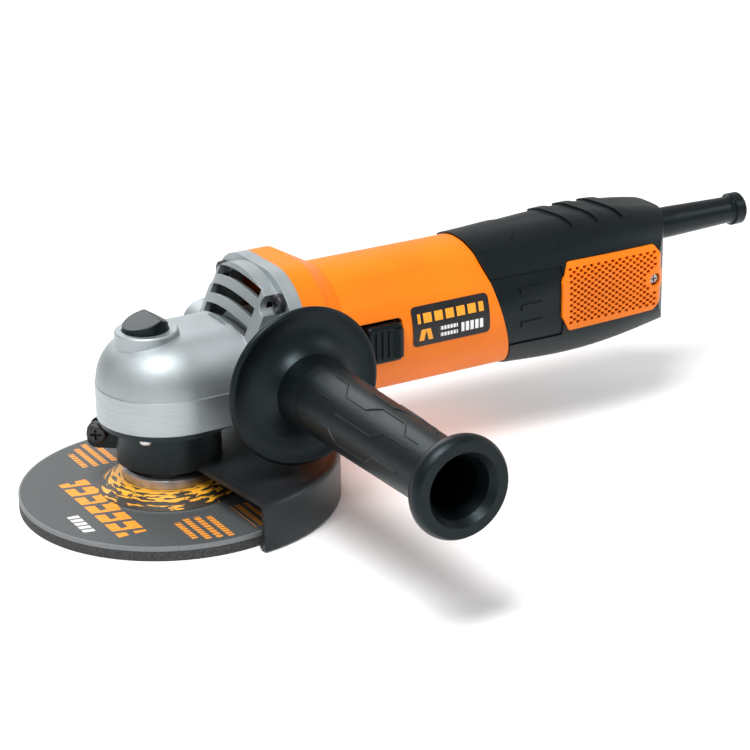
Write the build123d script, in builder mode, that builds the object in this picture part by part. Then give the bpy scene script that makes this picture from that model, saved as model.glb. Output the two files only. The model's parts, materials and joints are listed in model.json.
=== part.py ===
from build123d import *
import math
import os

os.makedirs("parts", exist_ok=True)

# Angle grinder for 125 mm discs, millimetres.
# Frame: +Z up along the spindle, +X from the spindle towards the rear handle, -Y towards the side handle.
# Origin: spindle axis at the outer face of the lock nut.

# ---------------------------------------------------------------- driving dimensions
# Disc and what clamps it
DISC_R = 62.5
DISC_BORE_R = 11.1
DISC_LOW_Z = -1.0
DISC_T = 6.0
HUB_RISE = 5.2
HUB_FLAT_R = 22.5
HUB_FOOT_R = 31.0
LABEL_R = 30.0
LABEL_T = 0.25
NUT_R = 18.5
NUT_PIN_SPACING = 30.0
NUT_PIN_R = 2.5
FLANGE_R = 19.5
FLANGE_TOP_Z = 15.0
SPINDLE_THREAD_R = 7.0
SPINDLE_END_Z = 1.0

# Spindle and bearings
SPINDLE_SHOULDER_R = 9.5
SPINDLE_R = 6.0
SPINDLE_NECK_R = 5.0
SPINDLE_TIP_R = 4.0
SPINDLE_TIP_Z = 66.8
LOW_BEARING_R = 16.0
LOW_BEARING_Z = 24.0
LOW_BEARING_T = 10.0
BUSH_R = 6.0
BUSH_Z = 59.5
BUSH_L = 8.0

# Bevel gears: their pitch cones meet on the spindle axis at the height of the motor axis
MOTOR_Z = 58.5
GEAR_TEETH = 39
PINION_TEETH = 12
GEAR_PITCH_R = 20.0
PINION_PITCH_R = GEAR_PITCH_R * PINION_TEETH / GEAR_TEETH
CONE_LENGTH = math.hypot(GEAR_PITCH_R, PINION_PITCH_R)
CONE_ANGLE = math.atan2(PINION_PITCH_R, GEAR_PITCH_R)
FACE_WIDTH = 6.0
INNER_SCALE = 1 - FACE_WIDTH / CONE_LENGTH
GEAR_ADDENDUM = 0.65
GEAR_DEDENDUM = 1.45
PINION_ADDENDUM = 1.1
PINION_DEDENDUM = 0.95
TOOTH_HALF = 0.66

# Gear case
CASE_R = 28.5
CASE_BASE_Z = 37.3
CASE_TOP_Z = 72.0
CASE_CROWN_R = 20.0
CASE_BELT_Z = 51.5
LEDGE_SLOPE = 0.13
JOINT_X = 47.0
JOINT_HALF = 35.5
JOINT_CORNER_R = 25.0
FLANGE_X = 41.0
CHAMBER_R = 22.6
CASE_SCREW_OFFSET = 25.0
HANDLE_X = 36.3
HANDLE_Z = 57.3
HANDLE_BOSS_R = 10.5
HANDLE_BOSS_Y = 38.0
HANDLE_THREAD_R = 4.25
HANDLE_THREAD_DEPTH = 15.0
HOOD_FOOT = (24.5, 70.5)
HOOD_TOP = (35.0, 93.5)
HOOD_HALF = 24.0
HOOD_FACE_R = 70.0
SLOT_STEP = 8.2
SLOT_FIRST = 4.6
SLOT_H = 4.0
SLOT_HALF = 18.5
SLOT_ARC_R = 80.0

# Spindle lock
BUTTON_X = -8.0
BUTTON_R = 9.3
LOCK_BOSS_R = 13.0
LOCK_BOSS_Z = 74.4
WELL_R = 9.6
WELL_Z = 69.0
BUTTON_LOW_Z = 72.2
BUTTON_FRONT_Z = 75.9
BUTTON_BACK_Z = 79.8
LOCK_PIN_X = -11.2
LOCK_PIN_R = 2.25
LOCK_PIN_LOW_Z = 52.2
SPRING_LOW_Z = 66.0
SPRING_HIGH_Z = 74.0
SPRING_MEAN_R = 3.4
SPRING_WIRE_R = 0.4

# Bearing cover, guard and its band
COVER_R = 28.0
COVER_LOW_Z = 34.8
COLLAR_R = 20.3
COLLAR_LOW_Z = 20.5
COVER_SCREW_R = 25.3
BAND_IN_R = 20.38
BAND_R = 21.7
BAND_LOW_Z = 20.0
BAND_TOP_Z = 32.2
EAR_ANGLE = 142.0
EAR_R = 33.5
EAR_GAP = 3.0
EAR_T = 1.8
CLAMP_HEIGHT = 6.8
GUARD_R = 70.3
GUARD_T = 2.0
GUARD_TOP_Z = 20.0
GUARD_START = -84.0
GUARD_SPAN = 168.0

# Motor housing
BARREL_R = 29.5
WALL = 2.6
FLARE_X = 57.0
BARREL_X = 69.0
FACET_LOW = 30.5
FACET_HIGH = 58.4
SEAM_TOP = (137.6, 88.0)
SEAM_MID = (144.0, 58.5)
SEAM_LOW = (155.5, 29.0)
SEAM_GAP = 0.3

# Slide switch
SLIDER_X0 = 77.0
SLIDER_X1 = 94.0
SLIDER_Z0 = 50.5
SLIDER_Z1 = 67.0
SLIDER_TRAVEL = 6.0
WINDOW_GAP = 1.0

# Motor
ARMATURE_R = 17.5
STATOR_BORE_R = 18.2
STATOR_R = 26.4
STATOR_FLAT = 22.6
STATOR_X0 = 92.0
STATOR_X1 = 134.0
COMMUTATOR_X = (146.0, 162.0)
COMMUTATOR_R = 11.0
REAR_BEARING_X = 172.0

# Rear handle
HANDLE_END_X = 240.0
SLEEVE_Z = 75.0
SLEEVE_X1 = 290.0
CORD_BORE_R = 3.7

# Side handle
GRIP_FLANGE_R = 33.0
GRIP_END_Y = -171.0


def pan_screw(plane, head_r, head_h, shank_r, shank_l):
    """Pan head screw: the head stands on the plane along its normal, the shank goes the other way."""
    with BuildPart(plane) as screw:
        Cylinder(head_r, head_h, align=(Align.CENTER, Align.CENTER, Align.MIN))
        fillet(screw.faces().sort_by(Axis(plane.origin, plane.z_dir))[-1].edges(), head_h * 0.45)
        Cylinder(shank_r, shank_l, align=(Align.CENTER, Align.CENTER, Align.MAX))
        with BuildSketch(plane.offset(head_h)):
            Rectangle(1.1 * head_r, 0.24 * head_r)
            Rectangle(0.24 * head_r, 1.1 * head_r)
        extrude(amount=-0.6 * head_h, mode=Mode.SUBTRACT)
    return screw.part


def ball_bearing(plane, bore_r, outer_r, width, balls):
    """Ball bearing on the plane, running along its normal: outer ring, then inner ring with balls."""
    mean_r = (bore_r + outer_r) / 2
    ball_r = (outer_r - bore_r) * 0.26
    land = (outer_r - bore_r) * 0.3
    with BuildPart(plane) as outer:
        Cylinder(outer_r, width, align=(Align.CENTER, Align.CENTER, Align.MIN))
        Cylinder(outer_r - land, width, align=(Align.CENTER, Align.CENTER, Align.MIN), mode=Mode.SUBTRACT)
        with Locations((0, 0, width / 2)):
            Torus(mean_r, ball_r + 0.08, mode=Mode.SUBTRACT)
    with BuildPart(plane) as inner:
        Cylinder(bore_r + land, width, align=(Align.CENTER, Align.CENTER, Align.MIN))
        Cylinder(bore_r, width, align=(Align.CENTER, Align.CENTER, Align.MIN), mode=Mode.SUBTRACT)
        with Locations((0, 0, width / 2)):
            Torus(mean_r, ball_r + 0.08, mode=Mode.SUBTRACT)
        with Locations((0, 0, width / 2)):
            with PolarLocations(mean_r, balls):
                Sphere(ball_r)
    return outer.part, inner.part


# ================================================================ disc and clamping parts
with BuildPart() as grinding_disc:
    with BuildSketch(Plane.XZ):
        with BuildLine():
            Polyline(
                (DISC_BORE_R, DISC_LOW_Z + HUB_RISE),
                (HUB_FLAT_R - 2, DISC_LOW_Z + HUB_RISE),
                (HUB_FOOT_R - 2, DISC_LOW_Z),
                (DISC_R, DISC_LOW_Z),
                (DISC_R, DISC_LOW_Z + DISC_T),
                (HUB_FOOT_R, DISC_LOW_Z + DISC_T),
                (HUB_FLAT_R, DISC_LOW_Z + DISC_T + HUB_RISE),
                (DISC_BORE_R, DISC_LOW_Z + DISC_T + HUB_RISE),
                close=True,
            )
        make_face()
    revolve(axis=Axis.Z)
grinding_disc.part.label = "grinding_disc"
export_step(grinding_disc.part, "parts/grinding_disc.step")

HUB_TOP_Z = DISC_LOW_Z + DISC_T + HUB_RISE
with BuildPart() as disc_label:
    label_slope = HUB_RISE / (HUB_FOOT_R - HUB_FLAT_R)
    label_edge_z = HUB_TOP_Z - (LABEL_R - HUB_FLAT_R) * label_slope
    with BuildSketch(Plane.XZ):
        with BuildLine():
            Polyline(
                (FLANGE_R + 0.2, HUB_TOP_Z),
                (HUB_FLAT_R, HUB_TOP_Z),
                (LABEL_R, label_edge_z),
                (LABEL_R, label_edge_z + LABEL_T),
                (HUB_FLAT_R, HUB_TOP_Z + LABEL_T),
                (FLANGE_R + 0.2, HUB_TOP_Z + LABEL_T),
                close=True,
            )
        make_face()
    revolve(axis=Axis.Z)
disc_label.part.label = "disc_label"
export_step(disc_label.part, "parts/disc_label.step")

with BuildPart() as inner_flange:
    with BuildSketch(Plane.XY.offset(HUB_TOP_Z)):
        Circle(FLANGE_R)
        Circle(SPINDLE_THREAD_R, mode=Mode.SUBTRACT)
    extrude(amount=FLANGE_TOP_Z - HUB_TOP_Z)
    chamfer(inner_flange.faces().sort_by(Axis.Z)[-1].edges().sort_by(SortBy.LENGTH)[-1], 1.0)
    with BuildSketch(Plane.XY.offset(HUB_TOP_Z)):
        Circle(DISC_BORE_R - 0.05)
        Circle(SPINDLE_THREAD_R, mode=Mode.SUBTRACT)
    extrude(amount=-3.5)
inner_flange.part.label = "inner_flange"
export_step(inner_flange.part, "parts/inner_flange.step")

with BuildPart() as lock_nut:
    with BuildSketch():
        Circle(NUT_R)
        Circle(SPINDLE_THREAD_R, mode=Mode.SUBTRACT)
        with GridLocations(NUT_PIN_SPACING, 1, 2, 1):
            Circle(NUT_PIN_R, mode=Mode.SUBTRACT)
    extrude(amount=DISC_LOW_Z + HUB_RISE)
    chamfer(lock_nut.faces().sort_by(Axis.Z)[0].edges().sort_by(SortBy.LENGTH)[-1], 0.8)
lock_nut.part.label = "lock_nut"
export_step(lock_nut.part, "parts/lock_nut.step")

# ================================================================ spindle and its bearings
with BuildPart() as spindle:
    with BuildSketch(Plane.XZ):
        with BuildLine():
            Polyline(
                (0, SPINDLE_END_Z),
                (SPINDLE_THREAD_R - 1, SPINDLE_END_Z),
                (SPINDLE_THREAD_R, SPINDLE_END_Z + 1),
                (SPINDLE_THREAD_R, FLANGE_TOP_Z),
                (SPINDLE_SHOULDER_R, FLANGE_TOP_Z),
                (SPINDLE_SHOULDER_R, LOW_BEARING_Z - 1),
                (SPINDLE_R + 1.6, LOW_BEARING_Z - 1),
                (SPINDLE_R + 1.6, LOW_BEARING_Z),
                (SPINDLE_R, LOW_BEARING_Z),
                (SPINDLE_R, 52.0),
                (SPINDLE_NECK_R, 52.0),
                (SPINDLE_NECK_R, 58.0),
                (SPINDLE_TIP_R, 59.0),
                (SPINDLE_TIP_R, SPINDLE_TIP_Z - 0.6),
                (SPINDLE_TIP_R - 0.6, SPINDLE_TIP_Z),
                (0, SPINDLE_TIP_Z),
                close=True,
            )
        make_face()
    revolve(axis=Axis.Z)
    with BuildSketch(Plane.XY.offset(FLANGE_TOP_Z)):
        Circle(SPINDLE_SHOULDER_R + 1)
        Rectangle(15.0, 40.0, mode=Mode.SUBTRACT)
    extrude(amount=4.0, mode=Mode.SUBTRACT)
spindle.part.label = "spindle"
export_step(spindle.part, "parts/spindle.step")

low_outer, low_inner = ball_bearing(
    Plane.XY.offset(LOW_BEARING_Z), SPINDLE_R, LOW_BEARING_R, LOW_BEARING_T, 8
)
low_outer.label = "spindle_bearing_outer"
export_step(low_outer, "parts/spindle_bearing_outer.step")
low_inner.label = "spindle_bearing_inner"
export_step(low_inner, "parts/spindle_bearing_inner.step")

with BuildPart() as spindle_bush:
    with BuildSketch(Plane.XY.offset(BUSH_Z)):
        Circle(BUSH_R)
        Circle(SPINDLE_TIP_R + 0.04, mode=Mode.SUBTRACT)
    extrude(amount=BUSH_L)
spindle_bush.part.label = "spindle_upper_bush"
export_step(spindle_bush.part, "parts/spindle_upper_bush.step")

with BuildPart() as retaining_ring:
    with BuildSketch(Plane.XY.offset(LOW_BEARING_Z + LOW_BEARING_T)):
        Circle(LOW_BEARING_R + 0.6)
        Circle(LOW_BEARING_R - 1.6, mode=Mode.SUBTRACT)
        with Locations((LOW_BEARING_R - 0.5, 0)):
            Rectangle(6.0, 7.0, mode=Mode.SUBTRACT)
    extrude(amount=1.2)
retaining_ring.part.label = "bearing_retaining_ring"
export_step(retaining_ring.part, "parts/bearing_retaining_ring.step")

with BuildPart() as felt_seal:
    with BuildSketch(Plane.XY.offset(21.6)):
        Circle(12.5)
        Circle(SPINDLE_SHOULDER_R + 0.06, mode=Mode.SUBTRACT)
    extrude(amount=1.4)
felt_seal.part.label = "spindle_seal"
export_step(felt_seal.part, "parts/spindle_seal.step")

# ================================================================ bevel gears
APEX = Vector(0, 0, MOTOR_Z)
PITCH_DIR = Vector(math.cos(CONE_ANGLE), 0, -math.sin(CONE_ANGLE))
PITCH_NORMAL = Vector(math.sin(CONE_ANGLE), 0, math.cos(CONE_ANGLE))


def bevel_tooth(side, addendum, dedendum, tip_half, root_half, toe):
    """One straight bevel tooth at the mesh point; side is +1 for a tooth that points to the motor axis."""
    with BuildPart() as tooth:
        for scale in (toe, 1.0):
            at = APEX + PITCH_DIR * (CONE_LENGTH * scale)
            with BuildSketch(Plane(origin=at, x_dir=(0, 1, 0), z_dir=PITCH_DIR)):
                with BuildLine():
                    Polyline(
                        (-root_half * scale, -side * (dedendum + 0.3) * scale),
                        (-TOOTH_HALF * scale, 0),
                        (-tip_half * scale, side * addendum * scale),
                        (tip_half * scale, side * addendum * scale),
                        (TOOTH_HALF * scale, 0),
                        (root_half * scale, -side * (dedendum + 0.3) * scale),
                        close=True,
                    )
                make_face()
        loft(ruled=True)
    return tooth.part


def cone_point(scale, offset):
    """Radius and height of a point beside the pitch line: its share of the cone length and its offset."""
    at = APEX + PITCH_DIR * (CONE_LENGTH * scale) + PITCH_NORMAL * offset
    return (at.X, at.Z)


gear_tooth = bevel_tooth(1, GEAR_ADDENDUM, GEAR_DEDENDUM, 0.42, 1.18, INNER_SCALE + 0.025)
with BuildPart() as ring_gear:
    with BuildSketch(Plane.XZ):
        with BuildLine():
            Polyline(
                (SPINDLE_R, 43.5),
                (9.0, 43.5),
                (11.0, 46.0),
                (20.8, 46.0),
                cone_point(1.02, -GEAR_DEDENDUM * 1.02),
                cone_point(INNER_SCALE, -GEAR_DEDENDUM * INNER_SCALE),
                (13.95, 51.5),
                (SPINDLE_R, 51.5),
                close=True,
            )
        make_face()
    revolve(axis=Axis.Z)
    with BuildSketch(Plane.XY.offset(46.0)):
        with PolarLocations(-LOCK_PIN_X, 4):
            Circle(LOCK_PIN_R + 0.35)
    extrude(amount=6.0, mode=Mode.SUBTRACT)
    with PolarLocations(0, GEAR_TEETH):
        add(gear_tooth)
ring_gear.part.label = "ring_gear"
export_step(ring_gear.part, "parts/ring_gear.step")

with BuildPart() as gear_clip:
    with BuildSketch(Plane.XY.offset(52.0)):
        Circle(7.3)
        Circle(SPINDLE_NECK_R, mode=Mode.SUBTRACT)
        with Locations((0, 6.5)):
            Rectangle(5.0, 4.0, mode=Mode.SUBTRACT)
    extrude(amount=1.0)
gear_clip.part.label = "ring_gear_clip"
export_step(gear_clip.part, "parts/ring_gear_clip.step")

# The pinion is made about the motor axis, with a gap between two teeth facing the ring gear
pinion_tooth = bevel_tooth(-1, PINION_ADDENDUM, PINION_DEDENDUM, 0.12, 0.68, INNER_SCALE)
motor_axis = Axis((0, 0, MOTOR_Z), (1, 0, 0))
SHAFT_TIP_R = 2.6
pinion_root_out = cone_point(1.0, PINION_DEDENDUM)
pinion_root_in = cone_point(INNER_SCALE, PINION_DEDENDUM * INNER_SCALE)
with BuildPart() as pinion:
    with BuildSketch(Plane.XZ):
        with BuildLine():
            Polyline(
                (pinion_root_in[0], MOTOR_Z - SHAFT_TIP_R),
                pinion_root_in,
                pinion_root_out,
                (29.0, pinion_root_out[1]),
                (29.0, MOTOR_Z - SHAFT_TIP_R),
                close=True,
            )
        make_face()
    revolve(axis=motor_axis)
    for tooth in range(PINION_TEETH):
        add(pinion_tooth.rotate(motor_axis, (tooth + 0.5) * 360 / PINION_TEETH))
pinion.part.label = "pinion"
export_step(pinion.part, "parts/pinion.step")

with BuildPart() as pinion_nut:
    with BuildSketch(Plane.YZ.offset(10.6)):
        with Locations((0, MOTOR_Z)):
            RegularPolygon(4.4, 6)
            Circle(SHAFT_TIP_R, mode=Mode.SUBTRACT)
    extrude(amount=pinion_root_in[0] - 11.0)
pinion_nut.part.label = "pinion_nut"
export_step(pinion_nut.part, "parts/pinion_nut.step")

# ================================================================ gear case
HOOD_LEN = math.hypot(HOOD_TOP[0] - HOOD_FOOT[0], HOOD_TOP[1] - HOOD_FOOT[1])
HOOD_UP = Vector((HOOD_TOP[0] - HOOD_FOOT[0]) / HOOD_LEN, 0, (HOOD_TOP[1] - HOOD_FOOT[1]) / HOOD_LEN)
HOOD_OUT = Vector(-HOOD_UP.Z, 0, HOOD_UP.X)
HOOD_PLANE = Plane(origin=(HOOD_FOOT[0], 0, HOOD_FOOT[1]), x_dir=(0, -1, 0), z_dir=HOOD_OUT)


def hood_block(shrink, front, back):
    """Arched hood over the rear of the case, with a round-backed sloping face; shrink thins it all round."""
    with BuildPart() as block:
        with BuildSketch(Plane.YZ.offset(front)):
            with Locations((0, MOTOR_Z)):
                Circle(JOINT_HALF - 0.4 - shrink)
            with Locations((0, MOTOR_Z + 18)):
                Rectangle(2 * (HOOD_HALF - shrink), 36, mode=Mode.INTERSECT)
        extrude(amount=back - front)
        face_axis = HOOD_PLANE.origin - HOOD_OUT * (HOOD_FACE_R + shrink) - HOOD_UP * 80
        with BuildSketch(Plane(origin=face_axis, x_dir=(0, 1, 0), z_dir=HOOD_UP)):
            Circle(HOOD_FACE_R)
        extrude(amount=200, mode=Mode.INTERSECT)
    return block.part


def ledge_cutter(side):
    """Wedge that cuts the flat ledge under the crown on one flank, deeper towards the rear."""
    plane = Plane(origin=(-6, side * 25.5, 0), x_dir=(0, side, 0), z_dir=(1, -side * LEDGE_SLOPE, 0))
    with BuildPart() as cutter:
        with BuildSketch(plane):
            with BuildLine():
                Polyline((-2.4, 65.0), (2.0, 61.8), (9, 61.8), (9, 75), (-2.0, 75), close=True)
            make_face()
        extrude(amount=42)
    return cutter.part


hood_outer = hood_block(0, 14, FLANGE_X + 1)
hood_inner = hood_block(3.0, 20, JOINT_X)
ledge_left = ledge_cutter(-1)
ledge_right = ledge_cutter(1)
case_screw_spots = [(sy * CASE_SCREW_OFFSET, sz * CASE_SCREW_OFFSET) for sy in (-1, 1) for sz in (-1, 1)]

with BuildPart() as gear_head:
    # cup over the ring gear, round at the front
    with BuildSketch(Plane.XY.offset(CASE_BASE_Z)):
        with BuildLine():
            ThreePointArc((0, CASE_R), (-CASE_R, 0), (0, -CASE_R))
            Polyline((0, -CASE_R), (FLANGE_X, -CASE_R), (FLANGE_X, CASE_R), (0, CASE_R))
        make_face()
    extrude(amount=CASE_TOP_Z - CASE_BASE_Z)
    crown_edges = gear_head.faces().sort_by(Axis.Z)[-1].edges().sort_by(Axis.X)[:-1]
    fillet(crown_edges, CASE_CROWN_R)
    add(ledge_left, mode=Mode.SUBTRACT)
    add(ledge_right, mode=Mode.SUBTRACT)
    # machined belt below the crown
    with BuildSketch(Plane.XY.offset(CASE_BASE_Z)):
        with BuildLine():
            ThreePointArc((0, CASE_R + 0.4), (-CASE_R - 0.4, 0), (0, -CASE_R - 0.4))
            Polyline(
                (0, -CASE_R - 0.4), (FLANGE_X, -CASE_R - 0.4), (FLANGE_X, CASE_R + 0.4), (0, CASE_R + 0.4)
            )
        make_face()
    extrude(amount=CASE_BELT_Z - CASE_BASE_Z)
    # joint flange, hood and the two handle bosses
    with BuildSketch(Plane.YZ.offset(FLANGE_X)):
        with Locations((0, MOTOR_Z)):
            RectangleRounded(2 * JOINT_HALF, 2 * JOINT_HALF, JOINT_CORNER_R)
    extrude(amount=JOINT_X - FLANGE_X)
    add(hood_outer)
    with BuildSketch(Plane.XZ.offset(-HANDLE_BOSS_Y)):
        with Locations((HANDLE_X, HANDLE_Z)):
            Circle(HANDLE_BOSS_R)
    extrude(amount=2 * HANDLE_BOSS_Y)
    # spindle lock boss
    with BuildSketch(Plane.XY.offset(60)):
        with Locations((BUTTON_X + 0.5, 0)):
            Circle(LOCK_BOSS_R)
    extrude(amount=LOCK_BOSS_Z - 60)
    boss_top = gear_head.faces().sort_by_distance((BUTTON_X, 0, LOCK_BOSS_Z + 1))[0]
    chamfer(boss_top.edges(), 0.6)
    # seats in front of the four joint screws
    with BuildSketch(Plane.YZ.offset(FLANGE_X)):
        for spot in case_screw_spots:
            with Locations((spot[0], spot[1] + MOTOR_Z)):
                Circle(4.6)
    extrude(amount=-14, mode=Mode.SUBTRACT)
    with BuildSketch(Plane.YZ.offset(FLANGE_X - 1)):
        for spot in case_screw_spots:
            with Locations((spot[0], spot[1] + MOTOR_Z)):
                Circle(2.2)
    extrude(amount=10, mode=Mode.SUBTRACT)
    # gear chamber
    with BuildSketch(Plane.XZ):
        with BuildLine():
            Polyline((12, 64), (0, 64), (0, CASE_BASE_Z - 1), (CHAMBER_R, CASE_BASE_Z - 1), (CHAMBER_R, 51))
            ThreePointArc((CHAMBER_R, 51), (19.6, 59.8), (12, 64))
        make_face()
    revolve(axis=Axis.Z, mode=Mode.SUBTRACT)
    # motor side: bearing seat, pinion passage and the air way to the hood
    with BuildSketch(Plane.YZ.offset(10)):
        with Locations((0, MOTOR_Z)):
            Circle(9.0)
    extrude(amount=JOINT_X - 10, mode=Mode.SUBTRACT)
    with BuildSketch(Plane.YZ.offset(34)):
        with Locations((0, MOTOR_Z)):
            Circle(13.0)
    extrude(amount=JOINT_X - 34, mode=Mode.SUBTRACT)
    add(hood_inner, mode=Mode.SUBTRACT)
    # the wall between the gear chamber and the air way
    with BuildSketch(Plane.YZ.offset(24)):
        with Locations((0, MOTOR_Z)):
            Circle(16.0)
            Circle(9.0, mode=Mode.SUBTRACT)
    extrude(amount=10)
    with BuildSketch(Plane.YZ.offset(34)):
        with Locations((0, MOTOR_Z)):
            Circle(16.0)
            Circle(13.0, mode=Mode.SUBTRACT)
    extrude(amount=9)
    # slots in the sloping face
    for row in range(3):
        with BuildSketch(HOOD_PLANE.offset(3)):
            with Locations((0, SLOT_FIRST + row * SLOT_STEP - SLOT_ARC_R)):
                Circle(SLOT_ARC_R + SLOT_H / 2)
                Circle(SLOT_ARC_R - SLOT_H / 2, mode=Mode.SUBTRACT)
            with Locations((0, SLOT_FIRST + row * SLOT_STEP - 1)):
                Rectangle(2 * SLOT_HALF, 12, mode=Mode.INTERSECT)
        extrude(amount=-11, mode=Mode.SUBTRACT)
    # bush boss on the ceiling and its bore
    with BuildSketch(Plane.XY.offset(BUSH_Z - 1)):
        Circle(8.2)
        Circle(SPINDLE_TIP_R + 1, mode=Mode.SUBTRACT)
    extrude(amount=6)
    with BuildSketch(Plane.XY.offset(BUSH_Z)):
        Circle(BUSH_R)
    extrude(amount=BUSH_L, mode=Mode.SUBTRACT)
    # well for the button, pocket for its spring, bore for its pin
    with BuildSketch(Plane.XY.offset(WELL_Z)):
        with Locations((BUTTON_X, 0)):
            Circle(WELL_R)
    extrude(amount=20, mode=Mode.SUBTRACT)
    with BuildSketch(Plane.XY.offset(SPRING_LOW_Z)):
        with Locations((LOCK_PIN_X, 0)):
            Circle(4.1)
    extrude(amount=6, mode=Mode.SUBTRACT)
    with BuildSketch(Plane.XY.offset(60)):
        with Locations((LOCK_PIN_X, 0)):
            Circle(LOCK_PIN_R + 0.05)
    extrude(amount=12, mode=Mode.SUBTRACT)
    with BuildSketch(Plane.XY.offset(CASE_BASE_Z)):
        with PolarLocations(COVER_SCREW_R, 4, start_angle=45):
            Circle(1.5)
    extrude(amount=8, mode=Mode.SUBTRACT)
    # threaded sockets for the side handle, left and right
    for side in (-1, 1):
        with BuildSketch(Plane.XZ.offset(-side * HANDLE_BOSS_Y)):
            with Locations((HANDLE_X, HANDLE_Z)):
                Circle(HANDLE_THREAD_R)
        extrude(amount=side * HANDLE_THREAD_DEPTH, mode=Mode.SUBTRACT)
gear_head.part.label = "gear_head"
export_step(gear_head.part, "parts/gear_head.step")

case_screw_seats = [
    Plane(origin=(FLANGE_X, spot[0], spot[1] + MOTOR_Z), x_dir=(0, 1, 0), z_dir=(-1, 0, 0))
    for spot in case_screw_spots
]
case_screw_set = [pan_screw(seat, 3.9, 3.0, 2.0, 15.0) for seat in case_screw_seats]
with BuildPart() as gear_head_screws:
    add(case_screw_set)
gear_head_screws.part.label = "gear_head_screws"
export_step(gear_head_screws.part, "parts/gear_head_screws.step")

# ================================================================ spindle lock
with BuildPart() as lock_button:
    with BuildSketch(Plane.XY.offset(BUTTON_LOW_Z)):
        with Locations((BUTTON_X, 0)):
            Circle(BUTTON_R)
    extrude(amount=BUTTON_BACK_Z - BUTTON_LOW_Z)
    # the top slopes down to the front and is cut back steeply at the rear
    with BuildSketch(Plane.XZ.offset(-20)):
        with BuildLine():
            Polyline(
                (BUTTON_X - 12, BUTTON_FRONT_Z - 0.6),
                (BUTTON_X + 3.5, BUTTON_BACK_Z),
                (BUTTON_X + 12, BUTTON_FRONT_Z - 1.0),
                (BUTTON_X + 12, 90),
                (BUTTON_X - 12, 90),
                close=True,
            )
        make_face()
    extrude(amount=40, mode=Mode.SUBTRACT)
    fillet(lock_button.faces().sort_by(Axis.Z)[-2:].edges(), 0.7)
    with BuildSketch(Plane.XY.offset(BUTTON_LOW_Z)):
        with Locations((LOCK_PIN_X, 0)):
            Circle(4.2)
    extrude(amount=SPRING_HIGH_Z - BUTTON_LOW_Z, mode=Mode.SUBTRACT)
    with BuildSketch(Plane.XY.offset(BUTTON_LOW_Z)):
        with Locations((LOCK_PIN_X, 0)):
            Circle(LOCK_PIN_R)
    extrude(amount=2.6, mode=Mode.SUBTRACT)
lock_button.part.label = "spindle_lock_button"
export_step(lock_button.part, "parts/spindle_lock_button.step")

with BuildPart() as lock_pin:
    with BuildSketch(Plane.XY.offset(LOCK_PIN_LOW_Z)):
        with Locations((LOCK_PIN_X, 0)):
            Circle(LOCK_PIN_R)
    extrude(amount=BUTTON_LOW_Z + 2.6 - LOCK_PIN_LOW_Z)
    chamfer(lock_pin.faces().sort_by(Axis.Z)[0].edges(), 0.5)
lock_pin.part.label = "spindle_lock_pin"
export_step(lock_pin.part, "parts/spindle_lock_pin.step")

with BuildPart() as lock_clip:
    with BuildSketch(Plane.XY.offset(62.6)):
        with Locations((LOCK_PIN_X, 0)):
            Circle(2.9)
            Circle(LOCK_PIN_R, mode=Mode.SUBTRACT)
    extrude(amount=0.8)
lock_clip.part.label = "spindle_lock_clip"
export_step(lock_clip.part, "parts/spindle_lock_clip.step")

SPRING_TURNS = 4
spring_height = SPRING_HIGH_Z - SPRING_LOW_Z - 2 * SPRING_WIRE_R - 0.1
with BuildPart() as lock_spring:
    spring_start = (LOCK_PIN_X, 0, SPRING_LOW_Z + SPRING_WIRE_R + 0.05)
    with BuildLine():
        coil = Helix(spring_height / SPRING_TURNS, spring_height, SPRING_MEAN_R, center=spring_start)
    with BuildSketch(coil ^ 0):
        Circle(SPRING_WIRE_R)
    sweep(is_frenet=True)
lock_spring.part.label = "spindle_lock_spring"
export_step(lock_spring.part, "parts/spindle_lock_spring.step")

# ================================================================ bearing cover with the guard collar
cover_screw_angles = (45, 135, 225, 315)
with BuildPart() as bearing_cover:
    with BuildSketch(Plane.XY.offset(COVER_LOW_Z)):
        Circle(COVER_R)
    extrude(amount=CASE_BASE_Z - COVER_LOW_Z)
    with BuildSketch(Plane.XY.offset(COLLAR_LOW_Z)):
        Circle(COLLAR_R)
    extrude(amount=COVER_LOW_Z - COLLAR_LOW_Z)
    chamfer(bearing_cover.faces().sort_by(Axis.Z)[0].edges(), 0.8)
    with BuildSketch(Plane.XY.offset(CASE_BASE_Z)):
        Circle(CHAMBER_R - 0.1)
    extrude(amount=2.0)
    with BuildSketch(Plane.XY.offset(LOW_BEARING_Z)):
        Circle(LOW_BEARING_R)
    extrude(amount=30, mode=Mode.SUBTRACT)
    with BuildSketch(Plane.XY.offset(LOW_BEARING_Z + LOW_BEARING_T)):
        Circle(LOW_BEARING_R + 0.6)
    extrude(amount=1.2, mode=Mode.SUBTRACT)
    with BuildSketch(Plane.XY.offset(CASE_BASE_Z - 1.0)):
        Circle(LOW_BEARING_R + 4.5)
    extrude(amount=4, mode=Mode.SUBTRACT)
    with BuildSketch(Plane.XY.offset(COLLAR_LOW_Z)):
        Circle(SPINDLE_SHOULDER_R + 1)
    extrude(amount=10, mode=Mode.SUBTRACT)
    with BuildSketch(Plane.XY.offset(21.6)):
        Circle(12.5)
    extrude(amount=2.4, mode=Mode.SUBTRACT)
    with BuildSketch(Plane.XY.offset(COVER_LOW_Z)):
        with PolarLocations(COVER_SCREW_R, 4, start_angle=45):
            Circle(1.6)
    extrude(amount=4, mode=Mode.SUBTRACT)
bearing_cover.part.label = "bearing_cover"
export_step(bearing_cover.part, "parts/bearing_cover.step")

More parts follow.
